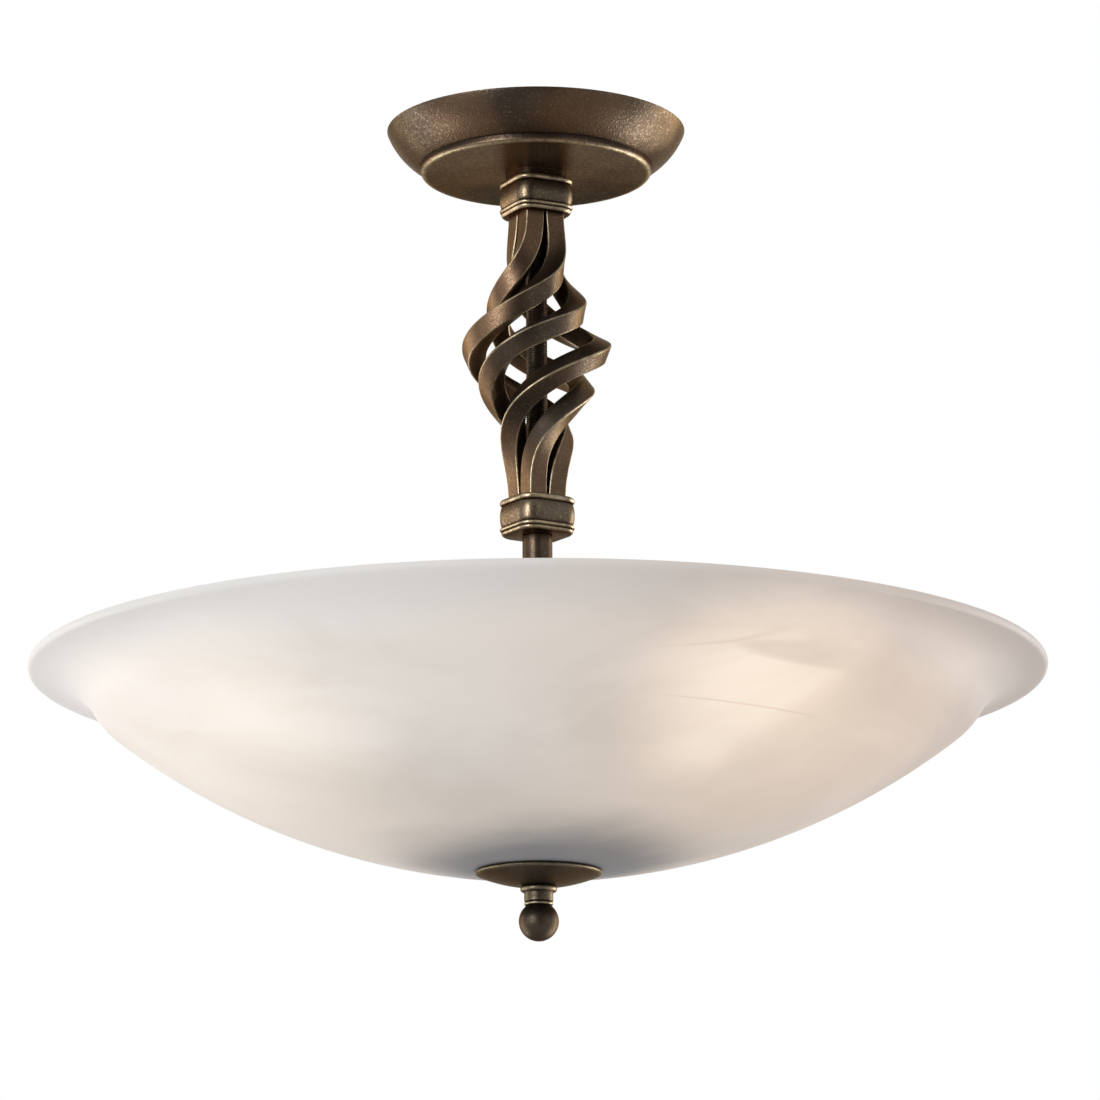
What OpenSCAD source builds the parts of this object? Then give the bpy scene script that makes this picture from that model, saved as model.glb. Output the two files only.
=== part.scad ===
// Semi-flush pendant: cast canopy, stem of four bars twisted into a basket, shallow glass bowl
// with three lamps. The origin is on the ceiling at the middle of the canopy, the light hangs
// towards -Z and its front faces -Y. An azimuth of 0 points to the front and grows towards +X.

/* [Canopy] */
// Diameter of the canopy at the ceiling
canopy_d = 135; // [131:1:160]
// Height of the canopy from the ceiling to its lowest edge
canopy_h = 20.4; // [20:0.1:30]
// Radius of the curved side of the canopy
canopy_curve_r = 32; // [26:1:44]
// Diameter of the raised disc on the canopy's face
disc_d = 104.4; // [90:0.2:106]
// Height of the raised disc
disc_h = 3.6; // [2:0.2:5]
// How far the face lies behind the disc's rounded edge
face_recess = 0.3; // [0.2:0.1:1]
// Wall of the canopy
canopy_wall = 1.8; // [1.2:0.1:2.4]

/* [Ceiling bracket] */
// Length of the crossbar
bracket_len = 116; // [108:1:118]
// Width of the crossbar
bracket_w = 24; // [20:1:28]
// Thickness of the crossbar
bracket_t = 3; // [2:0.5:3.5]
// Distance between the middles of the two ceiling screw slots
slot_spacing = 98; // [92:1:99]
// Length of each slot from end to end
slot_len = 12; // [8:1:13]
// Width of each slot
slot_w = 5; // [4:0.5:6]

/* [Terminal block] */
// Length of the terminal block along the crossbar
block_len = 16; // [14:1:17]
// Width of the terminal block across its three poles
block_w = 24; // [22:1:28]
// Height of the terminal block
block_h = 12; // [11:0.5:12.5]
// Distance from the stem's axis to the terminal block
block_reach = 23; // [20:1:24]

/* [Stem] */
// Outer diameter of the threaded centre rod
rod_d = 9.8; // [9.4:0.1:10.4]
// Wall of the centre rod
rod_wall = 1.3; // [1:0.1:1.4]
// Pitch of the rod's thread, which the finial follows
rod_pitch = 1; // [0.75:0.25:1.5]
// Outer diameter of the plain sleeves on the rod
sleeve_d = 13.4; // [12.4:0.1:15]
// Distance between opposite flats of the rod's nuts
rod_nut_af = 14; // [13:0.5:17]
// Thickness of the rod's nuts
rod_nut_t = 3.4; // [3:0.1:4]

/* [Collars] */
// How far a collar's beads stand out past the ends of the bars
collar_margin = 4.75; // [4:0.05:6]
// Height of a collar
collar_h = 16.5; // [15:0.1:24]
// Corner radius of a collar seen from above
collar_corner_r = 7.5; // [3:0.5:8.5]
// Height of the neck between the canopy and the upper collar
collar_neck_h = 3.4; // [2:0.1:6]
// How far that neck lies behind the collar's grooves
collar_neck_inset = 1.2; // [0.8:0.1:2]
// Height of the single bead at the top of a collar
top_bead_h = 2.8; // [2:0.1:4]
// Height of each of the two beads at the bottom of a collar
low_bead_h = 2; // [1.5:0.1:3]
// Depth of the grooves beside the beads
collar_groove = 0.9; // [0.3:0.1:0.9]
// How far the lowest bead draws in towards the collar's underside
collar_taper = 0.6; // [0.2:0.1:0.8]
// Azimuth of the upper collar's front corner
upper_collar_turn = -18; // [-45:1:0]
// Azimuth of the lower collar's front corner
lower_collar_turn = -12.4; // [-45:0.1:0]

/* [Basket] */
// Height of the basket between the two collars
basket_len = 131.6; // [110:0.1:160]
// Distance of the bars' middle lines from the axis at the widest place
basket_r = 28.3; // [24:0.1:34]
// Width of the square bars at their ends
bar_w = 8.9; // [7:0.1:9.4]
// Width of the square bars where the basket is widest
bar_mid_w = 8.9; // [7:0.1:9.4]
// Gap between neighbouring bars at their ends
bar_gap = 1.1; // [0.6:0.1:1.6]
// Bevel along the bars' edges
bar_bevel = 0.7; // [0.5:0.1:1]
// How much slower the bars turn at the ends than on average
twist_ease = 0.75; // [0.4:0.01:0.75]
// How much slower the bars turn at the widest place and the ends
twist_dip = 0.25; // [0:0.01:0.25]
// Where the basket is widest, as a share of its height from the top
bulge_place = 0.49; // [0.45:0.005:0.55]
// Share of the basket's height over which the bars bulge
bulge_share = 0.145; // [0.13:0.005:0.3]
// Share of the bulge that rises evenly all the way from the collars
bulge_foot = 0.28; // [0:0.02:0.4]
// How far the bars reach into the collars
bar_seat = 3.8; // [2:0.1:4]

/* [Hub] */
// Outer diameter of the hub
hub_d = 48; // [46:1:56]
// Height of the hub with its cover
hub_h = 36; // [32:1:44]
// Wall of the hub and its cover
hub_wall = 1.6; // [1.2:0.1:2]
// Azimuth of the first lamp
lamp_azimuth = -72.4; // [-90:0.1:-30]
// How far the lamps' axes lie below the bowl's rim
lamp_below = 12; // [8:1:16]

/* [Lamp holders] */
// Outer diameter of a lamp holder
holder_d = 38; // [36:0.5:42]
// Wall of a lamp holder
holder_wall = 2.4; // [2:0.1:2.8]
// Length of a lamp holder's cap
cap_len = 16; // [14:0.5:20]
// Length of a lamp holder's body
holder_len = 27; // [24:0.5:28]
// Diameter of the threaded nipples
nipple_d = 9.9; // [9:0.1:10.2]
// Bore of the threaded nipples
nipple_bore = 6.6; // [4:0.2:7]
// Distance between opposite flats of the nipples' nuts
nipple_nut_af = 13; // [12:0.5:14]
// Thickness of the nipples' nuts
nipple_nut_t = 3; // [2:0.5:3.5]
// Outer diameter of the flexes
flex_d = 3; // [2:0.1:3]

/* [Bulbs] */
// Diameter of the glass globe
globe_d = 60; // [50:1:60]
// Length of a bulb from its foot to its top
bulb_len = 105; // [98:1:108]
// Diameter of the bulb's threaded cap
bulb_cap_d = 26.2; // [26:0.1:26.6]
// Length of the bulb's threaded cap
bulb_cap_len = 22; // [20:0.5:24]
// Wall of the globe
globe_wall = 0.8; // [0.6:0.1:1.2]

/* [Bowl] */
// Height from the ceiling to the middle of the bowl's lip
rim_drop = 251; // [246:1:300]
// Diameter of the bowl over its lip
bowl_d = 450; // [440:5:500]
// Depth of the bowl from the middle of its lip to its lowest point
bowl_depth = 89; // [86:1:105]
// Thickness of the glass
glass_t = 4; // [3:0.5:5]
// Width of the lip and the shoulder beside it
lip_w = 36; // [34:0.5:40]
// Drop from the lip to the lower end of the shoulder
shoulder_drop = 25; // [20:0.2:26]
// Radius of the shoulder
shoulder_r = 32; // [24:1:38]
// Slope of the glass where it turns out into the lip
shoulder_slope = 60; // [58:1:66]
// Diameter of the hole in the glass
glass_hole_d = 12; // [11.2:0.2:14]

/* [Plate and finial] */
// Diameter of the plate under the bowl
plate_d = 57.4; // [44:0.2:70]
// Depth of the plate's dome
plate_depth = 6; // [5.4:0.2:8]
// Thickness of the plate
plate_t = 1.2; // [0.8:0.1:1.6]
// Diameter of the rubber washers
rubber_d = 34; // [28:1:36]
// Thickness of the rubber washers
rubber_t = 2.8; // [2:0.1:3]
// Thickness of the steel washer above the bowl
seat_washer_t = 1.5; // [1:0.1:2.5]
// Diameter of the finial's flange
flange_d = 16.2; // [14:0.2:20]
// Height of the finial's flange
flange_h = 2.5; // [1.5:0.1:4]
// Diameter of the finial's neck
neck_d = 12.8; // [12.4:0.2:14]
// Height of the finial from its flange to the bottom of the ball
finial_h = 24.2; // [22:0.2:30]
// Diameter of the finial's ball
ball_d = 17.6; // [16:0.2:22]
// Length of the rod's thread inside the finial
finial_grip = 9.8; // [7:0.2:10.4]

/* [Clearances] */
// Radial clearance of threads
thread_gap = 0.05; // [0.02:0.01:0.1]
// Radial clearance of holes around the rod
hole_gap = 0.3; // [0.1:0.05:0.5]
// Gap between parts that nearly touch
seat_gap = 0.1; // [0.05:0.05:0.2]

/* [Hidden] */
$fn = 96;
LAMPS = [1, 2, 3];

// Finishes
BRONZE = [0.30, 0.26, 0.20];
BRIGHT_BRONZE = [0.42, 0.37, 0.28];
STEEL = [0.62, 0.62, 0.60];
BRASS = [0.72, 0.58, 0.30];
BLACK_PLASTIC = [0.10, 0.10, 0.10];
WHITE_PLASTIC = [0.88, 0.88, 0.86];
ALABASTER = [0.93, 0.90, 0.85];
RUBBER = [0.16, 0.16, 0.17];
FLEX_GOLD = [0.66, 0.55, 0.34];
OPAL = [0.97, 0.96, 0.93];

// How far a cut runs past the face that it opens
over = 1;
half_turn = 180;
quarter_turn = 90;
full_turn = 360;

// Heights, all below the ceiling
rod_r = rod_d / 2;
bore_r = rod_r - rod_wall;
rod_hole_r = rod_r + hole_gap;
face_z = -(canopy_h - face_recess);
upper_collar_z = face_z - collar_neck_h;
basket_top = upper_collar_z - collar_h;
basket_bottom = basket_top - basket_len;
lower_collar_z = basket_bottom;
sleeve_top = lower_collar_z - collar_h;
rim_z = -rim_drop;
lamp_z = rim_z - lamp_below;
hub_top = lamp_z + hub_h / 2;
hub_bottom = lamp_z - hub_h / 2;
hub_nut_z = hub_bottom - rod_nut_t;
apex_z = rim_z - bowl_depth;

// Canopy
canopy_r = canopy_d / 2;
disc_r = disc_d / 2;
side_h = canopy_h - disc_h;

// Collars
barrel_h = collar_h - top_bead_h - 2 * low_bead_h;
corner_steps = 5;
bead_steps = 5;
barrel_steps = 8;
// How far the barrel and the lowest bead stand out, as shares of the groove's depth
barrel_bulge = 0.95;
last_bead_bulge = 0.7;
corner_azimuth = 45;

// Basket: at each end the bars stand two by two, corners on the collar's corners, round the rod
bar_end_r = (bar_w + bar_gap) / (2 * cos(corner_azimuth));
bundle_r = bar_w + bar_gap / 2;
basket_turn = full_turn + upper_collar_turn - lower_collar_turn;
bar_rings = 48;

// Coping of a bar's inner sides: its radius about the axis and the points that it takes
cope_r = rod_r + seat_gap;
cope_place = 0.7;
cope_steps = 3;

// Half width of a collar across its flat sides
collar_r = bundle_r + collar_margin;

// Lamp holder stations along a lamp's axis, from the stem's axis outwards
hub_r = hub_d / 2;
hub_inner_r = hub_r - hub_wall;
nut_half = nipple_nut_af / 2 / cos(30);
inner_nut_end = sqrt(pow(hub_inner_r, 2) - pow(nut_half, 2)) - seat_gap;
outer_nut_start = hub_r + seat_gap;
cap_start = outer_nut_start + nipple_nut_t + seat_gap;
cap_base_t = 4;
holder_start = cap_start + cap_len;
bulkhead_t = 3.6;
shell_start = holder_start + bulkhead_t;
shell_t = 0.5;
shell_recess = 3;
shell_len = holder_len - bulkhead_t - shell_recess;
shell_r = bulb_cap_d / 2 + thread_gap;
contact_t = 0.6;
contact_h = 2.6;
foot_start = shell_start + contact_h + seat_gap;
nipple_r = nipple_d / 2;
nipple_tip = 1;
nipple_start = inner_nut_end - nipple_nut_t - nipple_tip;
nipple_end = cap_start + cap_base_t + nipple_tip;
holder_r = holder_d / 2;
flex_r = flex_d / 2;
flex_entry = 1.4;
flex_end = holder_start + flex_entry;

// Flexes: each runs down the rod's bore beside the wall and bends out through a window
lane_gap = 0.15;
flex_lane = bore_r - flex_r - lane_gap;
flex_bend = 5;
flex_sides = 8;
bend_steps = 5;
sway_steps = 6;
top_bend = 4.5;
// Where a flex ends in the terminal block, and where it starts to run straight before it
tip_gap = 0.5;
mouth_lead = 1;
// Each flex leaves the rod under the bracket's nut at its own level
washer_t = 0.8;
window_gap = 0.2;
level_step = flex_d + window_gap;
nut_to_flex = 0.4;
top_level = -(bracket_t + washer_t + rod_nut_t + flex_r + nut_to_flex);

// Terminal block
pole_pitch = block_w / 3;
block_top = -bracket_t;
entry_drop = 1;
entry_z = block_top - block_h / 2 - entry_drop;
entry_r = flex_r + hole_gap;
entry_depth = 3;
supply_r = 1.7;
supply_depth = 8;
screw_head_r = 2;
screw_head_h = 1.6;
screw_r = 1.3;
screw_well = 2.4;
screw_slot = 0.6;
screw_inset = 4.6;
screw_tip = 0.8;
mount_screw_r = 1.4;

// Bowl: a dish of one curve up to the shoulder, then a tighter curve, then the lip
bowl_r = bowl_d / 2;
dish_edge_r = bowl_r - lip_w;
dish_rise = bowl_depth - shoulder_drop;
dish_r = (pow(dish_edge_r, 2) + pow(dish_rise, 2)) / (2 * dish_rise);
dish_z = apex_z + dish_r;
dish_angle = asin(dish_edge_r / dish_r);
shoulder_x = (dish_r - shoulder_r) * sin(dish_angle);
shoulder_z = dish_z - (dish_r - shoulder_r) * cos(dish_angle);
slope_x = shoulder_x + shoulder_r * sin(shoulder_slope);
slope_z = shoulder_z - shoulder_r * cos(shoulder_slope);
lip_low = rim_z - glass_t / 2;
flare_r = (lip_low - slope_z) / (1 - cos(shoulder_slope));
flare_x = slope_x + flare_r * sin(shoulder_slope);
flare_z = slope_z - flare_r * cos(shoulder_slope);
glass_hole_r = glass_hole_d / 2;
hole_angle = asin(glass_hole_r / dish_r);
inner_hole_angle = asin(glass_hole_r / (dish_r - glass_t));
dish_steps = 24;
shoulder_steps = 6;
flare_steps = 6;
edge_steps = 8;

// Stack of washers that grips the glass
rubber_r = rubber_d / 2;
glass_top = dish_z - sqrt(pow(dish_r - glass_t, 2) - pow(rubber_r, 2)) + seat_gap;
seat_washer_z = glass_top + rubber_t;
spacer_bottom = seat_washer_z + seat_washer_t;
plate_r = plate_d / 2;
plate_curve_r = (pow(plate_r, 2) + pow(plate_depth, 2)) / (2 * plate_depth);
dome_at_rubber = plate_curve_r - sqrt(pow(plate_curve_r - plate_t, 2) - pow(rubber_r, 2));
plate_bottom = apex_z - rubber_t - dome_at_rubber;
plate_centre_z = plate_bottom + plate_curve_r;
plate_hole_r = rod_r + 2 * hole_gap;
flange_z = plate_centre_z - sqrt(pow(plate_curve_r, 2) - pow(plate_hole_r, 2)) - seat_gap;
rod_bottom = flange_z - finial_grip;
rod_to_ceiling = 0.4;
rod_top = -rod_to_ceiling;

// Finial
ball_r = ball_d / 2;
ball_z = flange_z - finial_h + ball_r;
neck_r = neck_d / 2;
neck_pinch = 0.9;
neck_low = ball_z + sqrt(pow(ball_r, 2) - pow(neck_r - neck_pinch, 2));
bead_h = 1.6;
neck_ease = 0.4;
thread_relief = rod_pitch;
bead_undercut = 0.6;

// Points of an arc from angle a to angle b
function arc(x, y, r, a, b, n) =
    [for (k = [0:n]) [x + r * cos(a + (b - a) * k / n), y + r * sin(a + (b - a) * k / n)]];

// Direction of an azimuth, seen from above
function heading(azimuth) = [sin(azimuth), -cos(azimuth), 0];

function unit(v) = v / norm(v);

// Side of v that is square to t
function square_to(v, t) = unit(v - (v * t) * t);

// Solid through a list of rings that have the same number of points
module loft(rings) {
    n = len(rings[0]);
    last = len(rings) - 1;
    sides = [for (k = [0:last - 1]) for (j = [0:n - 1]) let (m = (j + 1) % n)
        each [[k * n + j, k * n + m, (k + 1) * n + m], [k * n + j, (k + 1) * n + m, (k + 1) * n + j]]];
    first_end = [[for (j = [n - 1:-1:0]) j]];
    last_end = [[for (j = [0:n - 1]) last * n + j]];
    polyhedron(points = [for (ring = rings) each ring], faces = concat(first_end, sides, last_end));
}

module tube(outer_r, inner_r, low, high) {
    translate([0, 0, low])
        difference() {
            cylinder(r = outer_r, h = high - low);
            translate([0, 0, -over])
                cylinder(r = inner_r, h = high - low + 2 * over);
        }
}

module hex_nut(across_flats, hole_r, low, high) {
    translate([0, 0, low])
        difference() {
            cylinder(r = across_flats / 2 / cos(30), h = high - low, $fn = 6);
            translate([0, 0, -over])
                cylinder(r = hole_r, h = high - low + 2 * over);
        }
}

module revolve(points) {
    rotate_extrude()
        polygon(points);
}

// Lays a piece made along +Z onto the axis of lamp i
function lamp_turn(i) = lamp_azimuth + (i - 1) * full_turn / len(LAMPS);

module on_lamp_axis(i) {
    translate([0, 0, lamp_z])
        rotate([0, 0, lamp_turn(i) - quarter_turn])
            rotate([0, quarter_turn, 0])
                children();
}

// Ceiling bracket and what it carries
module slot_cut(x) {
    half = (slot_len - slot_w) / 2;
    for (side = [-1, 1])
        translate([x + side * half, 0, -bracket_t - over])
            cylinder(d = slot_w, h = bracket_t + 2 * over);
    translate([x - half, -slot_w / 2, -bracket_t - over])
        cube([2 * half, slot_w, bracket_t + 2 * over]);
}

earth_x = -block_reach;
earth_screw_r = 2;
earth_head_r = 3.6;
earth_head_h = 2.4;
block_x = block_reach + block_len / 2;
block_screw_y = pole_pitch / 2;

// The slots stay inside the crossbar's ends
slot_edge = 2;
slot_x = min(slot_spacing, bracket_len - slot_len - 2 * slot_edge) / 2;

module ceiling_bracket() {
    color(STEEL)
        difference() {
            translate([-bracket_len / 2, -bracket_w / 2, -bracket_t])
                cube([bracket_len, bracket_w, bracket_t]);
            translate([0, 0, -bracket_t - over])
                cylinder(r = rod_r + thread_gap, h = bracket_t + 2 * over);
            for (side = [-1, 1])
                slot_cut(side * slot_x);
            translate([earth_x, 0, -bracket_t - over])
                cylinder(r = earth_screw_r + thread_gap, h = bracket_t + 2 * over);
            translate([block_x, block_screw_y, -bracket_t - over])
                cylinder(r = mount_screw_r + thread_gap, h = bracket_t + 2 * over);
        }
}

module bracket_washer() {
    color(STEEL)
        tube(rod_nut_af / 2, rod_hole_r, -bracket_t - washer_t, -bracket_t);
}

module bracket_nut() {
    nut_top = -bracket_t - washer_t;
    color(STEEL)
        hex_nut(rod_nut_af, rod_r + thread_gap, nut_top - rod_nut_t, nut_top);
}

module slotted_screw(head_r, head_h, shank_r, shank_len) {
    difference() {
        union() {
            translate([0, 0, -head_h])
                cylinder(r = head_r, h = head_h);
            cylinder(r = shank_r, h = shank_len);
        }
        translate([-head_r - over, -screw_slot / 2, -head_h - over])
            cube([2 * (head_r + over), screw_slot, over + head_h / 2]);
    }
}

module earth_screw() {
    color(BRASS)
        translate([earth_x, 0, -bracket_t])
            slotted_screw(earth_head_r, earth_head_h, earth_screw_r, bracket_t - seat_gap);
}

function pole_y(k) = (k - 2) * pole_pitch;

// Places of the clamping screws, one on each side of each pole
function clamp_x(side) = block_x + side * (block_len / 2 - screw_inset);

module screw_wells() {
    for (k = [1:3])
        for (side = [-1, 1])
            translate([clamp_x(side), pole_y(k), block_top - block_h]) {
                translate([0, 0, -over])
                    cylinder(r = screw_head_r + hole_gap, h = screw_well + over);
                cylinder(r = screw_r + thread_gap, h = block_h / 2);
            }
}

module terminal_block() {
    color(WHITE_PLASTIC)
        difference() {
            translate([block_reach, -block_w / 2, block_top - block_h])
                cube([block_len, block_w, block_h]);
            for (k = [1:3])
                translate([block_reach, pole_y(k), entry_z])
                    rotate([0, quarter_turn, 0]) {
                        translate([0, 0, -over])
                            cylinder(r = entry_r, h = entry_depth + over);
                        translate([0, 0, block_len - supply_depth])
                            cylinder(r = supply_r, h = supply_depth + over);
                    }
            screw_wells();
            translate([block_x, block_screw_y, block_top - block_h - over]) {
                cylinder(r = mount_screw_r + thread_gap, h = block_h + 2 * over);
                cylinder(r = screw_head_r + hole_gap, h = screw_well + over);
            }
        }
}

module terminal_screws() {
    color(BRASS)
        for (k = [1:3])
            for (side = [-1, 1])
                translate([clamp_x(side), pole_y(k), block_top - block_h + screw_well])
                    slotted_screw(screw_head_r, screw_head_h, screw_r, screw_tip);
}

module block_screw() {
    color(STEEL)
        translate([block_x, block_screw_y, block_top - block_h + screw_well])
            slotted_screw(screw_head_r, screw_head_h, mount_screw_r,
                block_h - screw_well + bracket_t - seat_gap);
}

// Centre rod: hollow, with a window for the flexes at each end
module rod_windows() {
    top_low = top_level - 2 * level_step - flex_bend;
    translate([0, -bore_r, top_low])
        cube([rod_r + over, 2 * bore_r, top_level + flex_r + window_gap - top_low]);
    for (i = LAMPS)
        translate([0, 0, lamp_z])
            rotate([0, 0, lamp_turn(i) - quarter_turn])
                translate([0, -flex_r - window_gap, -flex_r - window_gap])
                    cube([rod_r + over, 2 * (flex_r + window_gap), flex_bend + flex_r + 2 * window_gap]);
}

module centre_rod() {
    bore_floor = lamp_z - hub_h / 4;
    color(BRONZE)
        difference() {
            translate([0, 0, rod_bottom])
                cylinder(r = rod_r, h = rod_top - rod_bottom);
            translate([0, 0, bore_floor])
                cylinder(r = bore_r, h = rod_top - bore_floor + over);
            rod_windows();
        }
}

// Canopy
half_chord = norm([canopy_r - disc_r, side_h]) / 2;
chord_angle = atan2(side_h, canopy_r - disc_r);
bulge = sqrt(pow(canopy_curve_r, 2) - pow(half_chord, 2));
curve_x = (canopy_r + disc_r) / 2 - bulge * sin(chord_angle);
curve_z = -side_h / 2 + bulge * cos(chord_angle);
curve_steps = 14;
edge_r = disc_h / 2;

function side_angle(r, z) = -asin(min(1, max(-1, (curve_z - z) / r)));

module canopy() {
    inner_r = canopy_curve_r - canopy_wall;
    start = side_angle(canopy_curve_r, 0);
    stop = side_angle(canopy_curve_r, -side_h);
    inner_stop = -acos((disc_r - canopy_wall - curve_x) / inner_r);
    lip_stop = asin((edge_r - face_recess) / edge_r);
    outside = concat([[0, 0]], arc(curve_x, curve_z, canopy_curve_r, start, stop, curve_steps),
        arc(disc_r - edge_r, edge_r - canopy_h, edge_r, 0, lip_stop - half_turn, edge_steps),
        [[0, face_z]]);
    inside = concat([[0, over], [curve_x + inner_r * cos(side_angle(inner_r, 0)), over]],
        arc(curve_x, curve_z, inner_r, side_angle(inner_r, 0), inner_stop, curve_steps),
        [[disc_r - canopy_wall, face_z + canopy_wall], [0, face_z + canopy_wall]]);
    color(BRONZE)
        rotate_extrude()
            difference() {
                polygon(outside);
                polygon(inside);
                translate([-over, -canopy_h - over])
                    square([rod_hole_r + over, canopy_h + 2 * over]);
            }
}

// Collars: a rounded square whose half width follows a row of beads
function rounded_square(half, corner) = [for (q = [0:3]) for (k = [0:corner_steps])
    let (a = quarter_turn * (q + k / corner_steps), m = quarter_turn * q + corner_azimuth,
        s = (half - corner) / cos(corner_azimuth))
    [s * cos(m) + corner * cos(a), s * sin(m) + corner * sin(a)]];

// Depth and half width along one bead, which may taper towards its lower end
function bead(depth, height, proud, n, first = 1, taper = 0) = [for (k = [first:n])
    let (down = (1 - cos(half_turn * k / n)) / 2)
    [depth + height * down, collar_r - collar_groove - taper * down + proud * sin(half_turn * k / n)]];

collar_outline = concat(
    bead(0, top_bead_h, collar_groove, bead_steps, 0),
    bead(top_bead_h, barrel_h, collar_groove * barrel_bulge, barrel_steps),
    bead(top_bead_h + barrel_h, low_bead_h, collar_groove, bead_steps),
    bead(top_bead_h + barrel_h + low_bead_h, low_bead_h, collar_groove * last_bead_bulge, bead_steps, 1,
        collar_taper));

collar_neck = [[-collar_neck_h, collar_r - collar_groove - collar_neck_inset],
    [-seat_gap, collar_r - collar_groove - collar_neck_inset]];

module collar_shape(outline, top, azimuth) {
    rings = [for (p = outline)
        [for (c = rounded_square(p[1], collar_corner_r)) [c[0], c[1], -p[0]]]];
    translate([0, 0, top])
        rotate([0, 0, azimuth - quarter_turn - corner_azimuth])
            loft(rings);
}

// Square recess in a collar for the ends of the four bars
module bar_recess(azimuth, low, high) {
    side = 2 * (bundle_r + seat_gap);
    rotate([0, 0, azimuth - corner_azimuth])
        translate([-side / 2, -side / 2, low])
            cube([side, side, high - low]);
}

module rod_bore(low, high) {
    translate([0, 0, low - over])
        cylinder(r = rod_hole_r, h = high - low + 2 * over);
}

module upper_collar() {
    color(BRIGHT_BRONZE)
        difference() {
            collar_shape(concat(collar_neck, collar_outline), upper_collar_z, upper_collar_turn);
            rod_bore(basket_top, face_z);
            bar_recess(upper_collar_turn, basket_top - over, basket_top + bar_seat + seat_gap);
        }
}

module lower_collar() {
    color(BRIGHT_BRONZE)
        difference() {
            collar_shape(collar_outline, lower_collar_z, lower_collar_turn);
            rod_bore(sleeve_top, lower_collar_z);
            bar_recess(lower_collar_turn, lower_collar_z - bar_seat - seat_gap, lower_collar_z + over);
        }
}

// Basket bars: square bars that turn about the axis with one edge outwards
function progress(u) = u - twist_ease * sin(full_turn * u) / (2 * PI)
    - twist_dip * sin(2 * full_turn * u) / (4 * PI);
function bell(u) = 1 / (1 + pow((u - bulge_place) / bulge_share, 2));
function bell_rest(u) = bell(0) + (bell(1) - bell(0)) * u;
function bell_rise(u) = (bell(u) - bell_rest(u)) / (1 - bell_rest(bulge_place));
function bulge_at(u) = (1 - bulge_foot) * bell_rise(u) + bulge_foot * (1 - cos(full_turn * u)) / 2;
function bar_azimuth(i, u) = upper_collar_turn + (i - 1) * quarter_turn - basket_turn * progress(u);
function bar_radius(u) = bar_end_r + (basket_r - bar_end_r) * bulge_at(u);
function bar_width(u) = bar_w + (bar_mid_w - bar_w) * bulge_at(u);
function bar_face(i, u) = heading(bar_azimuth(i, u) + corner_azimuth);
function bar_point(i, u) = bar_radius(u) * heading(bar_azimuth(i, u))
    + [0, 0, basket_top - basket_len * u];

// Point moved straight out from the axis where it would come too near the rod
function coped(p) = let (k = max(1, cope_r / norm([p[0], p[1]]))) [k * p[0], k * p[1], p[2]];
function bar_section(h, c) = concat([[h, c], [c, h], [-c, h], [-h, c], [-h, 0], [-h, -cope_place * h]],
    [for (k = [0:cope_steps]) let (s = (h - c) * k / cope_steps) [-h + s, -c - s]],
    [[-cope_place * h, -h], [0, -h], [c, -h], [h, -c]]);
function bar_ring(centre, outward, along, width) =
    let (side = cross(along, outward))
    [for (q = bar_section(width / 2, width / 2 - bar_bevel)) coped(centre + q[0] * side + q[1] * outward)];
function twisted_ring(i, u) =
    let (e = 0.5 / bar_rings, along = unit(bar_point(i, u + e) - bar_point(i, u - e)))
    bar_ring(bar_point(i, u), square_to(bar_face(i, u), along), along, bar_width(u));
function straight_ring(i, u, z) =
    bar_ring(bar_radius(u) * heading(bar_azimuth(i, u)) + [0, 0, z], bar_face(i, u), [0, 0, -1], bar_w);

module basket_bar(i) {
    rings = concat([straight_ring(i, 0, basket_top + bar_seat), straight_ring(i, 0, basket_top)],
        [for (k = [1:bar_rings - 1]) twisted_ring(i, k / bar_rings)],
        [straight_ring(i, 1, basket_bottom), straight_ring(i, 1, basket_bottom - bar_seat)]);
    color(BRONZE)
        loft(rings);
}

module stem_sleeve() {
    color(BRONZE)
        tube(sleeve_d / 2, rod_hole_r, hub_top, sleeve_top);
}

// Hub
module hub_body() {
    color(BRONZE)
        difference() {
            translate([0, 0, hub_bottom + hub_wall])
                cylinder(r = hub_r, h = hub_h - hub_wall);
            translate([0, 0, hub_bottom])
                cylinder(r = hub_inner_r, h = hub_h - hub_wall);
            translate([0, 0, hub_bottom])
                cylinder(r = rod_hole_r, h = hub_h + over);
            for (i = LAMPS)
                on_lamp_axis(i)
                    cylinder(r = nipple_r + thread_gap, h = hub_r + over);
        }
}

module hub_cover() {
    ring_h = 2;
    color(BRONZE)
        difference() {
            union() {
                translate([0, 0, hub_bottom])
                    cylinder(r = hub_r, h = hub_wall);
                translate([0, 0, hub_bottom])
                    cylinder(r = hub_inner_r - seat_gap, h = hub_wall + ring_h);
            }
            translate([0, 0, hub_bottom + hub_wall])
                cylinder(r = hub_inner_r - seat_gap - hub_wall, h = ring_h + over);
            translate([0, 0, hub_bottom - over])
                cylinder(r = rod_hole_r, h = hub_wall + 2 * over);
        }
}

module hub_nut() {
    color(STEEL)
        hex_nut(rod_nut_af, rod_r + thread_gap, hub_nut_z, hub_bottom);
}

// Lamp holders
module holder_nipples() {
    color(BRASS)
        for (i = LAMPS)
            on_lamp_axis(i)
                tube(nipple_r, nipple_bore / 2, nipple_start, nipple_end);
}

module nipple_nuts() {
    color(BRASS)
        for (i = LAMPS)
            on_lamp_axis(i) {
                hex_nut(nipple_nut_af, nipple_r + thread_gap, inner_nut_end - nipple_nut_t, inner_nut_end);
                hex_nut(nipple_nut_af, nipple_r + thread_gap, outer_nut_start,
                    outer_nut_start + nipple_nut_t);
            }
}

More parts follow.
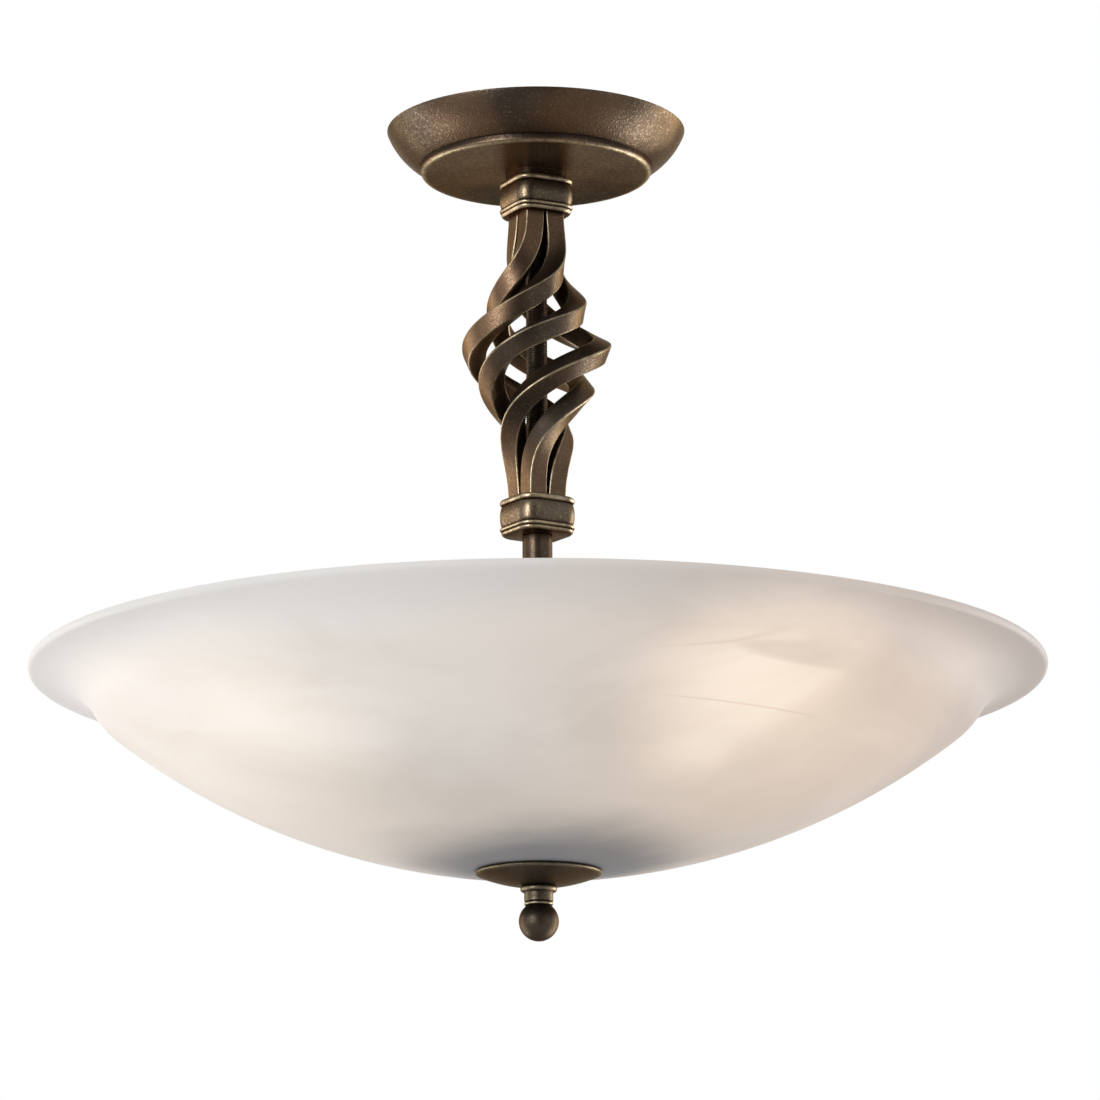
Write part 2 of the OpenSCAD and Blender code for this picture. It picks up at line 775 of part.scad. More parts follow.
module holder_cap(i) {
    shoulder = holder_r / 2;
    outside = concat([[0, cap_start]],
        arc(holder_r - shoulder, cap_start + shoulder, shoulder, -quarter_turn, 0, edge_steps),
        [[holder_r, holder_start], [0, holder_start]]);
    inner = shoulder - holder_wall;
    inside = concat([[0, cap_start + cap_base_t]],
        [[holder_r - shoulder, cap_start + cap_base_t]],
        arc(holder_r - shoulder, cap_start + shoulder, inner, -asin((shoulder - cap_base_t) / inner), 0,
            edge_steps),
        [[holder_r - holder_wall, holder_start + over], [0, holder_start + over]]);
    color(BLACK_PLASTIC)
        on_lamp_axis(i)
            rotate_extrude()
                difference() {
                    polygon(outside);
                    polygon(inside);
                    translate([-over, cap_start - over])
                        square([nipple_r + thread_gap + over, cap_base_t + 2 * over]);
                }
}

rivet_r = 1.2;

module lamp_holder(i) {
    color(BLACK_PLASTIC)
        on_lamp_axis(i)
            difference() {
                translate([0, 0, holder_start])
                    cylinder(r = holder_r, h = holder_len);
                translate([0, 0, shell_start])
                    cylinder(r = holder_r - holder_wall, h = holder_len);
                translate([0, 0, holder_start - over])
                    cylinder(r = flex_r + hole_gap, h = flex_end - holder_start + seat_gap + over);
                translate([0, 0, holder_start])
                    cylinder(r = rivet_r + seat_gap, h = holder_len);
            }
}

module screw_shell(i) {
    color(BRASS)
        on_lamp_axis(i) {
            tube(shell_r + shell_t, shell_r, shell_start, shell_start + shell_len);
            tube(shell_r + shell_t / 2, shell_r / 2, shell_start, shell_start + shell_t);
        }
}

module centre_contact(i) {
    color(BRASS)
        on_lamp_axis(i) {
            translate([0, 0, shell_start])
                cylinder(r = shell_r / 3, h = contact_t);
            translate([0, 0, shell_start])
                cylinder(r = 2 * rivet_r, h = contact_h);
            translate([0, 0, flex_end + 2 * seat_gap])
                cylinder(r = rivet_r, h = shell_start - flex_end);
        }
}

// Flexes: from the terminal block, down the rod's bore and out to each lamp holder
function lane(i) = flex_lane * heading(lamp_turn(i));
function level(i) = i == 1 ? top_level : i == 2 ? top_level - 2 * level_step : top_level - level_step;
function pole_of(i) = i == 1 ? 2 : i == 2 ? 1 : 3;
function smooth(t) = t * t * (3 - 2 * t);
function flex_path(i) =
    let (out = heading(lamp_turn(i)), p = lane(i), low = lamp_z + flex_bend,
        bend_x = p[0] + top_bend, last = [block_reach + entry_depth - tip_gap, pole_y(pole_of(i)), entry_z],
        mouth = [block_reach - mouth_lead, last[1], entry_z], start = [bend_x, p[1], level(i)])
    concat([flex_end * out + [0, 0, lamp_z]],
        [for (k = [0:bend_steps]) let (a = quarter_turn * k / bend_steps)
            p + (1 - sin(a)) * flex_bend * out + [0, 0, low - flex_bend * cos(a)]],
        [for (k = [0:bend_steps]) let (a = quarter_turn * k / bend_steps)
            [bend_x - top_bend * cos(a), p[1], level(i) - top_bend + top_bend * sin(a)]],
        [for (k = [1:sway_steps]) let (t = k / sway_steps)
            [start[0] + (mouth[0] - start[0]) * t, start[1] + (mouth[1] - start[1]) * smooth(t),
                start[2] + (mouth[2] - start[2]) * smooth(t)]],
        [last]);

function tangent(p, k) = unit(p[min(k + 1, len(p) - 1)] - p[max(k - 1, 0)]);
function frames(p, k, side) = k == len(p) ? [] :
    let (t = tangent(p, k), s = square_to(side, t)) concat([[t, s]], frames(p, k + 1, s));
function tube_rings(p, r, side) = let (f = frames(p, 0, side))
    [for (k = [0:len(p) - 1]) [for (j = [0:flex_sides - 1]) let (a = full_turn * j / flex_sides)
        p[k] + r * (cos(a) * f[k][1] + sin(a) * cross(f[k][0], f[k][1]))]];

module flex(i) {
    color(FLEX_GOLD)
        loft(tube_rings(flex_path(i), flex_r, [0, 0, 1]));
}

// Stack that grips the bowl
module spacer_sleeve() {
    color(BRONZE)
        tube(sleeve_d / 2, rod_hole_r, spacer_bottom, hub_nut_z);
}

module seat_washer() {
    color(STEEL)
        tube(rubber_r, rod_hole_r, seat_washer_z, spacer_bottom);
}

module upper_rubber() {
    color(RUBBER)
        tube(rubber_r, rod_hole_r, glass_top, seat_washer_z);
}

module lower_rubber() {
    color(RUBBER)
        tube(rubber_r, plate_hole_r, apex_z - rubber_t, apex_z);
}

// Bowl outline from the hole up the outside, round the lip and down the inside
function glass_side(inset, first_angle) = concat(
    arc(0, dish_z, dish_r - inset, first_angle - quarter_turn, dish_angle - quarter_turn, dish_steps),
    [for (k = [1:shoulder_steps]) let (a = dish_angle + (shoulder_slope - dish_angle) * k / shoulder_steps)
        [shoulder_x + (shoulder_r - inset) * sin(a), shoulder_z - (shoulder_r - inset) * cos(a)]],
    [for (k = [1:flare_steps]) let (a = shoulder_slope * (1 - k / flare_steps))
        [flare_x - (flare_r + inset) * sin(a), flare_z + (flare_r + inset) * cos(a)]]);

function reversed(list) = [for (k = [len(list) - 1:-1:0]) list[k]];

module bowl() {
    lip_edge = arc(bowl_r - glass_t / 2, rim_z, glass_t / 2, -quarter_turn, quarter_turn, edge_steps);
    color(ALABASTER)
        revolve(concat(glass_side(0, hole_angle), lip_edge,
            reversed(glass_side(glass_t, inner_hole_angle))));
}

module bottom_plate() {
    first = asin(plate_hole_r / plate_curve_r);
    stop = asin(plate_r / plate_curve_r);
    inner_r = plate_curve_r - plate_t;
    inner_first = asin(plate_hole_r / inner_r);
    color(BRONZE)
        revolve(concat(
            arc(0, plate_centre_z, plate_curve_r, first - quarter_turn, stop - quarter_turn, curve_steps),
            arc(0, plate_centre_z, inner_r, stop - quarter_turn, inner_first - quarter_turn, curve_steps)));
}

module finial() {
    flange_r = flange_d / 2;
    half_flange = flange_h / 2;
    neck_top = flange_z - flange_h;
    bead_top = neck_low + bead_h;
    ball_start = acos((neck_r - neck_pinch) / ball_r);
    outline = concat([[0, flange_z]],
        arc(flange_r - half_flange, flange_z - half_flange, half_flange, quarter_turn, -quarter_turn,
            edge_steps),
        [[neck_r, neck_top - neck_ease], [neck_r, bead_top + neck_ease],
            [neck_r - bead_undercut, bead_top]],
        arc(neck_r - bead_h / 2, bead_top - bead_h / 2, bead_h / 2, quarter_turn / 2, -quarter_turn / 2,
            edge_steps),
        arc(0, ball_z, ball_r, ball_start, -quarter_turn, 2 * edge_steps));
    color(BRONZE)
        difference() {
            revolve(outline);
            translate([0, 0, rod_bottom - thread_relief])
                cylinder(r = rod_r + thread_gap, h = flange_z - rod_bottom + thread_relief + over);
        }
}

// Bulbs
foot_r = 4.6;
foot_h = 1.2;
insulator_step = 1;
insulator_inset = 1.5;
collar_of_glass = 3.8;
cap_wall = 0.6;
bulb_cap_start = foot_start + foot_h + collar_of_glass + seat_gap;
bulb_cap_end = bulb_cap_start + bulb_cap_len;
globe_centre = foot_start + bulb_len - globe_d / 2;
glass_overlap = 5;

module bulb_foot(i) {
    cap_r = bulb_cap_d / 2;
    color(BRASS)
        on_lamp_axis(i)
            revolve([[0, foot_start], [foot_r, foot_start], [foot_r, foot_start + foot_h],
                [foot_r + insulator_step, foot_start + foot_h],
                [cap_r - insulator_inset, bulb_cap_start - seat_gap],
                [0, bulb_cap_start - seat_gap]]);
}

module bulb_cap(i) {
    cap_r = bulb_cap_d / 2;
    color(BRASS)
        on_lamp_axis(i)
            difference() {
                translate([0, 0, bulb_cap_start])
                    cylinder(r = cap_r, h = bulb_cap_len);
                translate([0, 0, bulb_cap_start + 2 * cap_wall])
                    cylinder(r = cap_r - cap_wall, h = bulb_cap_len);
            }
}

// Half outline of the glass: neck, a straight flank, then the ball
function globe_side(r, neck) =
    let (from = bulb_cap_end - globe_centre, reach = norm([neck, from]),
        tangent_angle = atan2(from, neck) + acos(r / reach))
    concat([[neck, bulb_cap_end]],
        arc(0, globe_centre, r, tangent_angle, quarter_turn, 2 * edge_steps));

module bulb_globe(i) {
    neck = bulb_cap_d / 2 - cap_wall - seat_gap;
    outer = globe_side(globe_d / 2, neck);
    inner = globe_side(globe_d / 2 - globe_wall, neck - globe_wall);
    color(OPAL)
        on_lamp_axis(i)
            revolve(concat([[neck - globe_wall, bulb_cap_end - glass_overlap],
                [neck, bulb_cap_end - glass_overlap]], outer, reversed(inner)));
}

ceiling_bracket();
bracket_washer();
bracket_nut();
earth_screw();
terminal_block();
terminal_screws();
block_screw();
centre_rod();
canopy();
upper_collar();
basket_bar(1);  // basket_bar_1
basket_bar(2);  // basket_bar_2
basket_bar(3);  // basket_bar_3
basket_bar(4);  // basket_bar_4
lower_collar();
stem_sleeve();
hub_body();
hub_cover();
hub_nut();
holder_nipples();
nipple_nuts();
holder_cap(1);  // holder_cap_1
holder_cap(2);  // holder_cap_2
holder_cap(3);  // holder_cap_3
lamp_holder(1);  // lamp_holder_1
lamp_holder(2);  // lamp_holder_2
lamp_holder(3);  // lamp_holder_3
screw_shell(1);  // screw_shell_1
screw_shell(2);  // screw_shell_2
screw_shell(3);  // screw_shell_3
centre_contact(1);  // centre_contact_1
centre_contact(2);  // centre_contact_2
centre_contact(3);  // centre_contact_3
flex(1);  // flex_1
flex(2);  // flex_2
flex(3);  // flex_3
spacer_sleeve();
seat_washer();
upper_rubber();
bowl();
lower_rubber();
bottom_plate();
finial();
bulb_foot(1);  // bulb_foot_1
bulb_foot(2);  // bulb_foot_2
bulb_foot(3);  // bulb_foot_3
bulb_cap(1);  // bulb_cap_1
bulb_cap(2);  // bulb_cap_2
bulb_cap(3);  // bulb_cap_3
bulb_globe(1);  // bulb_globe_1
bulb_globe(2);  // bulb_globe_2
bulb_globe(3);  // bulb_globe_3
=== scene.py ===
import math

import bmesh
import bpy
import numpy as np
from mathutils import Matrix, Vector


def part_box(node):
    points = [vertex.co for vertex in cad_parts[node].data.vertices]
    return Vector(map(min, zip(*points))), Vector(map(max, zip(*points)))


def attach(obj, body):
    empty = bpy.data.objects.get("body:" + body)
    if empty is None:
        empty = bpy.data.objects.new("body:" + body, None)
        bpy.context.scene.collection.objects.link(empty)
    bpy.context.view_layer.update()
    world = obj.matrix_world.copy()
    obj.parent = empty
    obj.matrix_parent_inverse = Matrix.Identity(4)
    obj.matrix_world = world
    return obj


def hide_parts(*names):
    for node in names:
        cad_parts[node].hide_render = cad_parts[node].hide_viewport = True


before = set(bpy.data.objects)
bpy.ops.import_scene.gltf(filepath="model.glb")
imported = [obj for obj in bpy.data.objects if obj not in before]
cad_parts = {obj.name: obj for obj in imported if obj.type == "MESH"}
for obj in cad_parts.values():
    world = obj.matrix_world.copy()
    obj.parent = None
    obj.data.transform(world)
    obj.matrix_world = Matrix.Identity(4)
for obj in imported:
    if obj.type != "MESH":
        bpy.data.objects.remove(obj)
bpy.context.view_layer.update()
print("frame loaded:", len(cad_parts), "nodes")

mm = 0.001
fullTurn = 2 * np.pi
quarter = np.pi / 2
mergeGap = 0.002              # points closer than this, in millimetres, are one

# Shape helpers


def arcPoints(x, z, r, first, last, steps):
    # Point (x + r cos a, z + r sin a) for angles a from first to last, in degrees
    a = np.radians(np.linspace(first, last, steps + 1))
    return np.stack([x + r * np.cos(a), z + r * np.sin(a)], -1)


def softened(corners, reach, steps=4):
    # Each corner P of a closed outline becomes (1-t)^2 A + 2t(1-t) P + t^2 B, with A and B on its two sides
    # at most reach away. The second result is 1 in the middle of a convex corner and 0 elsewhere.
    corners = np.asarray(corners, float)
    toBefore, toAfter = np.roll(corners, 1, 0) - corners, np.roll(corners, -1, 0) - corners
    lenBefore, lenAfter = np.linalg.norm(toBefore, axis=1), np.linalg.norm(toAfter, axis=1)
    cut = np.minimum(reach, 0.45 * np.minimum(lenBefore, lenAfter))[:, None, None]
    a = corners[:, None] + (toBefore / lenBefore[:, None])[:, None] * cut
    b = corners[:, None] + (toAfter / lenAfter[:, None])[:, None] * cut
    t = np.linspace(0, 1, steps + 1)[None, :, None]
    curve = (1 - t) ** 2 * a + 2 * t * (1 - t) * corners[:, None] + t**2 * b
    turn = -toBefore[:, 0] * toAfter[:, 1] + toBefore[:, 1] * toAfter[:, 0]
    area = np.sum(corners[:, 0] * np.roll(corners[:, 1], -1) - corners[:, 1] * np.roll(corners[:, 0], -1))
    convex = (turn * area > 0).astype(float)
    return curve.reshape(-1, 2), (convex[:, None] * np.sin(np.pi * t[0, :, 0])[None]).ravel()


def gridQuads(rows, columns, closeRows):
    # Quads between neighbouring rows and columns, with the columns closed on themselves
    a, b = np.meshgrid(np.arange(rows if closeRows else rows - 1), np.arange(columns), indexing="ij")
    nextRow, nextColumn = (a + 1) % rows, (b + 1) % columns
    corners = [a * columns + b, a * columns + nextColumn,
               nextRow * columns + nextColumn, nextRow * columns + b]
    return np.stack(corners, -1).reshape(-1, 4)


def polarPoints(r, t, z):
    # Point (r cos t, r sin t, z)
    return np.stack([r * np.cos(t), r * np.sin(t), z + 0 * t], -1)


def newObject(name, data):
    # An object with its mesh, lamp or camera, placed in the scene
    made = bpy.data.objects.new(name, data)
    bpy.context.scene.collection.objects.link(made)
    return made


def cleaned(mesh, flatAngle=None):
    # Joins points that almost meet, and flat faces where an angle is given. Without one, all faces are
    # turned outwards.
    work = bmesh.new()
    work.from_mesh(mesh)
    bmesh.ops.remove_doubles(work, verts=work.verts, dist=mergeGap * mm)
    if flatAngle is None:
        bmesh.ops.recalc_face_normals(work, faces=work.faces)
    else:
        flat = math.radians(flatAngle)
        bmesh.ops.dissolve_limit(work, angle_limit=flat, verts=work.verts, edges=work.edges)
    work.to_mesh(mesh)
    work.free()


def standIn(name, mesh, body, slot, node, sharp):
    # The mesh gets its slot's finish, rides on a body and takes the place of a CAD node. An edge stays crisp
    # where its faces turn by more than sharp degrees.
    mesh.materials.append(finishes[slot])
    mesh.shade_smooth()
    mesh.set_sharp_from_angle(angle=math.radians(sharp))
    piece = newObject(name, mesh)
    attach(piece, body)
    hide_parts(node)
    return piece


def addPiece(name, points, body, slot, node, wearAndPaintedLight=None, closeRows=True, sharp=35):
    # Points in millimetres, on one grid of rows and columns or on several, become a closed mesh
    rows, columns = points.shape[-3:-1]
    first = np.arange(0, points.size // 3, rows * columns)[:, None, None]
    quads = (gridQuads(rows, columns, closeRows) + first).reshape(-1, 4)
    mesh = bpy.data.meshes.new(name)
    mesh.from_pydata((points.reshape(-1, 3) * mm).tolist(), [], quads.tolist())
    if wearAndPaintedLight is not None:
        layer = mesh.attributes.new("wearAndPaintedLight", "FLOAT", "POINT")
        layer.data.foreach_set("value", np.ascontiguousarray(wearAndPaintedLight, np.float32).ravel())
    cleaned(mesh)
    standIn(name, mesh, body, slot, node, sharp)


def addTurned(name, outline, body, slot, node, wearAndPaintedLight=None, steps=160, place=None, sharp=35):
    # A closed outline (r, z) turned about Z in equal steps, or about a lamp's axis
    t = np.arange(steps) * fullTurn / steps
    points = polarPoints(outline[:, 0:1], t, outline[:, 1:2])
    spread = None if wearAndPaintedLight is None else np.repeat(np.asarray(wearAndPaintedLight)[:, None], steps, 1)
    addPiece(name, points if place is None else place(points), body, slot, node, spread, sharp=sharp)


def threaded(crestR, pitch, depth, low, high, boreR, around, perPitch, fade=1.0, inside=False):
    # Tube with a right-hand thread: r = crest - depth (1 - cos(z / pitch - t)) / 2, levelled out over fade
    # pitches near both ends. The thread is on the outside, or on the inside where boreR is the larger radius.
    rows = int(round((high - low) / pitch * perPitch)) + 1
    z = np.linspace(low, high, rows)[:, None]
    t = (np.arange(around) * fullTurn / around)[None]
    ease = np.clip(np.minimum(z - low, high - z) / (fade * pitch), 0, 1)
    wave = 0.5 - 0.5 * np.cos(fullTurn * z / pitch - t)
    r = crestR - depth * (wave * ease + (1 - ease) * (0 if inside else 1))
    other = np.full((1, around), boreR)
    return polarPoints(np.concatenate([other, r, other]), t, np.concatenate([z[:1], z, z[-1:]]))


def heading(azimuth):
    # Direction of an azimuth in degrees: (sin a, -cos a, 0), the front being 0
    a = np.radians(azimuth)
    return np.stack([np.sin(a), -np.cos(a), 0 * a], -1)


def unit(v):
    # Each vector divided by its own length
    return v / np.linalg.norm(v, axis=-1, keepdims=True)


copyValues = {
    "flatAngle": 1,           # faces that turn by less are joined
    "edgeAngle": 40,          # edges that turn by more are rounded and stay crisp
    "segments": 2,
}


def softCopy(name, node, slot, width):
    # A CAD node's own shape with its flat faces joined and its edges rounded by a bevel
    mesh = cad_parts[node].data.copy()
    mesh.name = name
    mesh.materials.clear()
    cleaned(mesh, copyValues["flatAngle"])
    mesh.polygons.foreach_set("material_index", np.zeros(len(mesh.polygons), np.int32))
    piece = standIn(name, mesh, "fixture", slot, node, copyValues["edgeAngle"])
    bevel = piece.modifiers.new("edges", "BEVEL")
    bevel.width, bevel.segments, bevel.limit_method = width * mm, copyValues["segments"], "ANGLE"
    bevel.angle_limit = math.radians(copyValues["edgeAngle"])
    bevel.use_clamp_overlap = True


# Finishes


class Finish:
    # The nodes of one material, or of the world: add() makes a node, sets or links its inputs and returns
    # its output
    def __init__(self, name, world=False):
        self.material = (bpy.data.worlds if world else bpy.data.materials).new(name)
        self.material.use_nodes = True
        self.nodes, self.links = self.material.node_tree.nodes, self.material.node_tree.links
        self.nodes.clear()
        out, shader = ("OutputWorld", "Background") if world else ("OutputMaterial", "BsdfPrincipled")
        self.shader = self.nodes.new("ShaderNode" + shader)
        self.links.new(self.shader.outputs[0], self.nodes.new("ShaderNode" + out).inputs[0])
        self.place = self.nodes.new("ShaderNodeTexCoord").outputs["Object"]

    def add(self, kind, inputs, output=0, **settings):
        node = self.nodes.new("ShaderNode" + kind)
        for key, value in settings.items():
            setattr(node, key, value)
        self.fill(node, inputs)
        return node.outputs[output]

    def fill(self, node, inputs):
        for key, value in inputs.items():
            if isinstance(value, bpy.types.NodeSocket):
                self.links.new(value, node.inputs[key])
            else:
                node.inputs[key].default_value = value

    def set(self, **inputs):
        self.fill(self.shader, {key.replace("_", " "): value for key, value in inputs.items()})

    def mapped(self, scale=(1, 1, 1), turn=(0, 0, 0)):
        return self.add("Mapping", {"Vector": self.place, "Scale": scale, "Rotation": turn})

    def noise(self, scale, detail=3.0, rough=0.55, distortion=0.0, vector=None):
        inputs = {"Vector": vector or self.place, "Scale": scale, "Detail": detail, "Roughness": rough}
        inputs["Distortion"] = distortion
        return self.add("TexNoise", inputs)

    def math(self, operation, a, b=0.0, clamp=False):
        return self.add("Math", {0: a, 1: b}, operation=operation, use_clamp=clamp)

    def times(self, a, b, clamp=False):
        return self.math("MULTIPLY", a, b, clamp)

    def span(self, value, low, high, first=0.0, last=1.0):
        # Goes smoothly from first to last while value goes from low to high
        inputs = {"Value": value, "From Min": low, "From Max": high, "To Min": first, "To Max": last}
        return self.add("MapRange", inputs, interpolation_type="SMOOTHSTEP")

    def mix(self, share, a, b):
        # Colour a where share is 0 and colour b where it is 1. Inputs 6 and 7 are the Mix node's colours.
        return self.add("Mix", {0: share, 6: a, 7: b}, output=2, data_type="RGBA")

    def bump(self, height, strength, distance):
        inputs = {"Height": height, "Strength": strength, "Distance": distance * mm}
        return self.add("Bump", inputs)

    def wearAndPaintedLight(self):
        return self.add("Attribute", {}, output=2, attribute_name="wearAndPaintedLight")


def colour(r, g, b):
    # A colour given as it should look, from 0 to 255, made linear
    c = np.array([r, g, b]) / 255
    c = np.where(c <= 0.04045, c / 12.92, ((c + 0.055) / 1.055) ** 2.4)
    return (*c.tolist(), 1.0)


bronzeValues = {
    "dark": (49, 44, 39),
    "brown": (70, 61, 53),
    "warm": (98, 74, 54),
    "rubbed": (136, 123, 104),
    # edge: worn edges with a painted highlight; the tone after it is painted shade for grooves and inner
    # sides
    "edge": (184, 168, 138),
    "paintedShade": (26, 21, 20),
    "glint": (190, 172, 150),
    "metallic": 0.86,
}


def agedBronze(name, grain=0.4, grainSize=1.1, polish=0.42, rub=0.2, edges=False, brushed=0.0,
               warmFrom=0.48):
    # Dark brown metal: patches of three browns and grains rubbed lighter. Where the attribute is above 0,
    # edges are worn bright and carry a painted highlight; where it is below, grooves and inner sides get
    # painted shade. grain is the sand cast relief in tenths of a millimetre, grainSize its width in
    # millimetres, polish the roughness and rub how light the grains are. A lower warmFrom gives more warm
    # brown, and brushed adds turning marks.
    f = Finish(name)
    tones = {key: colour(*value) for key, value in bronzeValues.items() if key != "metallic"}
    fine = f.noise(1000 / grainSize, 2.0, 0.6)
    patches = f.noise(38, 3.0, 0.6)
    broad = f.noise(9, 2.0, 0.5)
    base = f.mix(f.span(patches, 0.36, 0.68), tones["dark"], tones["brown"])
    base = f.mix(f.span(broad, warmFrom, warmFrom + 0.22, 0, 0.6), base, tones["warm"])
    base = f.mix(f.span(fine, 0.52, 0.76, 0, rub), base, tones["rubbed"])
    if edges:
        # Worn edges with a painted highlight where the attribute is above 0, painted shade where it is below
        rough = f.noise(260, 2.0, 0.6)
        edgeWearAndHighlight = f.times(f.wearAndPaintedLight(), f.span(rough, 0.3, 0.6, 0.45, 1), clamp=True)
        base = f.mix(edgeWearAndHighlight, base, tones["edge"])
        base = f.mix(f.times(f.wearAndPaintedLight(), -1.0, clamp=True), base, tones["paintedShade"])
    f.set(Base_Color=base, Metallic=bronzeValues["metallic"], Specular_Tint=tones["glint"])
    f.set(Roughness=f.span(fine, 0.3, 0.7, polish + 0.08, polish - 0.06))
    height = fine
    if brushed:
        lines = f.noise(500, 2.0, 0.5, vector=f.mapped((1, 1, 0.05)))
        height = f.math("ADD", fine, f.times(lines, brushed))
    f.set(Normal=f.bump(height, 0.9, grain * 0.1))
    return f.material


def platedSteel():
    # Zinc: pale cells of slightly different greys, with faint scratches
    f = Finish("zincSteel")
    cells = f.add("TexVoronoi", {"Vector": f.place, "Scale": 260.0}, output="Color")
    grey = f.add("RGBToBW", {"Color": cells})
    base = f.mix(grey, colour(150, 150, 146), colour(196, 197, 194))
    scratches = f.noise(300, 3.0, 0.6, vector=f.mapped((0.15, 1, 1)))
    f.set(Base_Color=base, Metallic=1.0, Roughness=f.span(scratches, 0.3, 0.7, 0.28, 0.46))
    f.set(Normal=f.bump(scratches, 0.25, 0.02))
    return f.material


def warmBrass():
    # Brass with darker breathed-on patches and fine turning marks
    f = Finish("warmBrass")
    patches = f.noise(90, 3.0, 0.6)
    base = f.mix(f.span(patches, 0.35, 0.7), colour(202, 168, 98), colour(160, 124, 66))
    fine = f.noise(900, 2.0, 0.5)
    f.set(Base_Color=base, Metallic=1.0, Roughness=f.span(patches, 0.3, 0.7, 0.24, 0.4))
    f.set(Normal=f.bump(fine, 0.25, 0.01))
    return f.material


def moulded(name, first, second, rough, grain):
    # Moulded plastic or rubber: two close tones in clouds, a fine skin and a matt or satin surface
    f = Finish(name)
    clouds = f.noise(120, 3.0, 0.6)
    skin = f.noise(1400, 2.0, 0.6)
    f.set(Base_Color=f.mix(f.span(clouds, 0.3, 0.7), colour(*first), colour(*second)))
    f.set(Roughness=f.span(skin, 0.3, 0.7, rough - 0.05, rough + 0.08))
    f.set(Normal=f.bump(skin, 0.5, grain))
    return f.material


def opalGlass():
    # A lit opal bulb: warm white in two close tones, with a weak light of its own
    f = Finish("opalBulb")
    clouds = f.noise(30, 2.0, 0.5)
    lit = f.mix(f.span(clouds, 0.3, 0.7), colour(255, 236, 206), colour(255, 226, 188))
    f.set(Base_Color=colour(206, 200, 190), Roughness=0.3, Emission_Color=lit, Emission_Strength=0.35)
    f.set(Coat_Weight=0.3, Coat_Roughness=0.12)
    return f.material


lampTurns = [-72.4, 47.6, 167.6]
lampZ = -263.0
glowValues = {                # lengths in millimetres
    "spots": [(-113.8, -123.7, -288.8), (92.2, -145.9, -285.7), (37.1, 168.4, -286.0),
              (70.0, -122.0, -300.0)],
    "sizes": [76.0, 76.0, 62.0, 40.0],
    "ragged": [40.0, 30.0, 40.0, 30.0],
    "shares": [0.42, 1.0, 0.5, 0.8],
    "core": 6.0,              # a spot is at its full share up to this distance
    "reach": 124.5,           # distance of a bulb's middle from the stem's axis
    "halo": (30.0, 130.0),    # distances from a bulb between which its light fades
    "haloRagged": 20.0,
    "haloShare": 0.43,
    "strength": 0.33,
    "streaks": (20.0, 60.0),  # distances from the brightest spot between which the streaks fade
    "streakRagged": 50.0,
    "streakWidth": 0.012,
    "streakShare": 0.2,
    "streakShadow": 0.3,
    "shadeMiddle": (7.0, -15.0, 0.0),
    "shade": (34.0, 82.0),
    "shadeShare": 0.85,
    "shadeRagged": 50.0,
}
glassValues = {
    # cream and cloud tint the lighter left side, warm and warmCloud the darker right side, far the far right:
    # painted light
    "cream": (252, 247, 242),
    "cloud": (242, 235, 227),
    "warm": (238, 221, 207),
    "warmCloud": (222, 205, 190),
    "milk": (244, 241, 238),
    "lip": (243, 241, 240),
    "lipWarm": (216, 206, 200),
    "low": (212, 202, 192),
    "far": (196, 181, 171),
    "streak": (168, 146, 132),
    "shade": (112, 113, 119),
    "glow": (255, 234, 206),
    "halo": (255, 216, 176),
}
glassBorders = {              # levels or places across the bowl between which a tone takes over
    # side and far: painted light, lighter on the left and darker towards the right
    "side": (-110.0, 130.0),
    "far": (100.0, 220.0),
    "low": (-290.0, -330.0),
    "lip": (-275.0, -252.0),
    "streaks": (-264.0, -274.0),
}


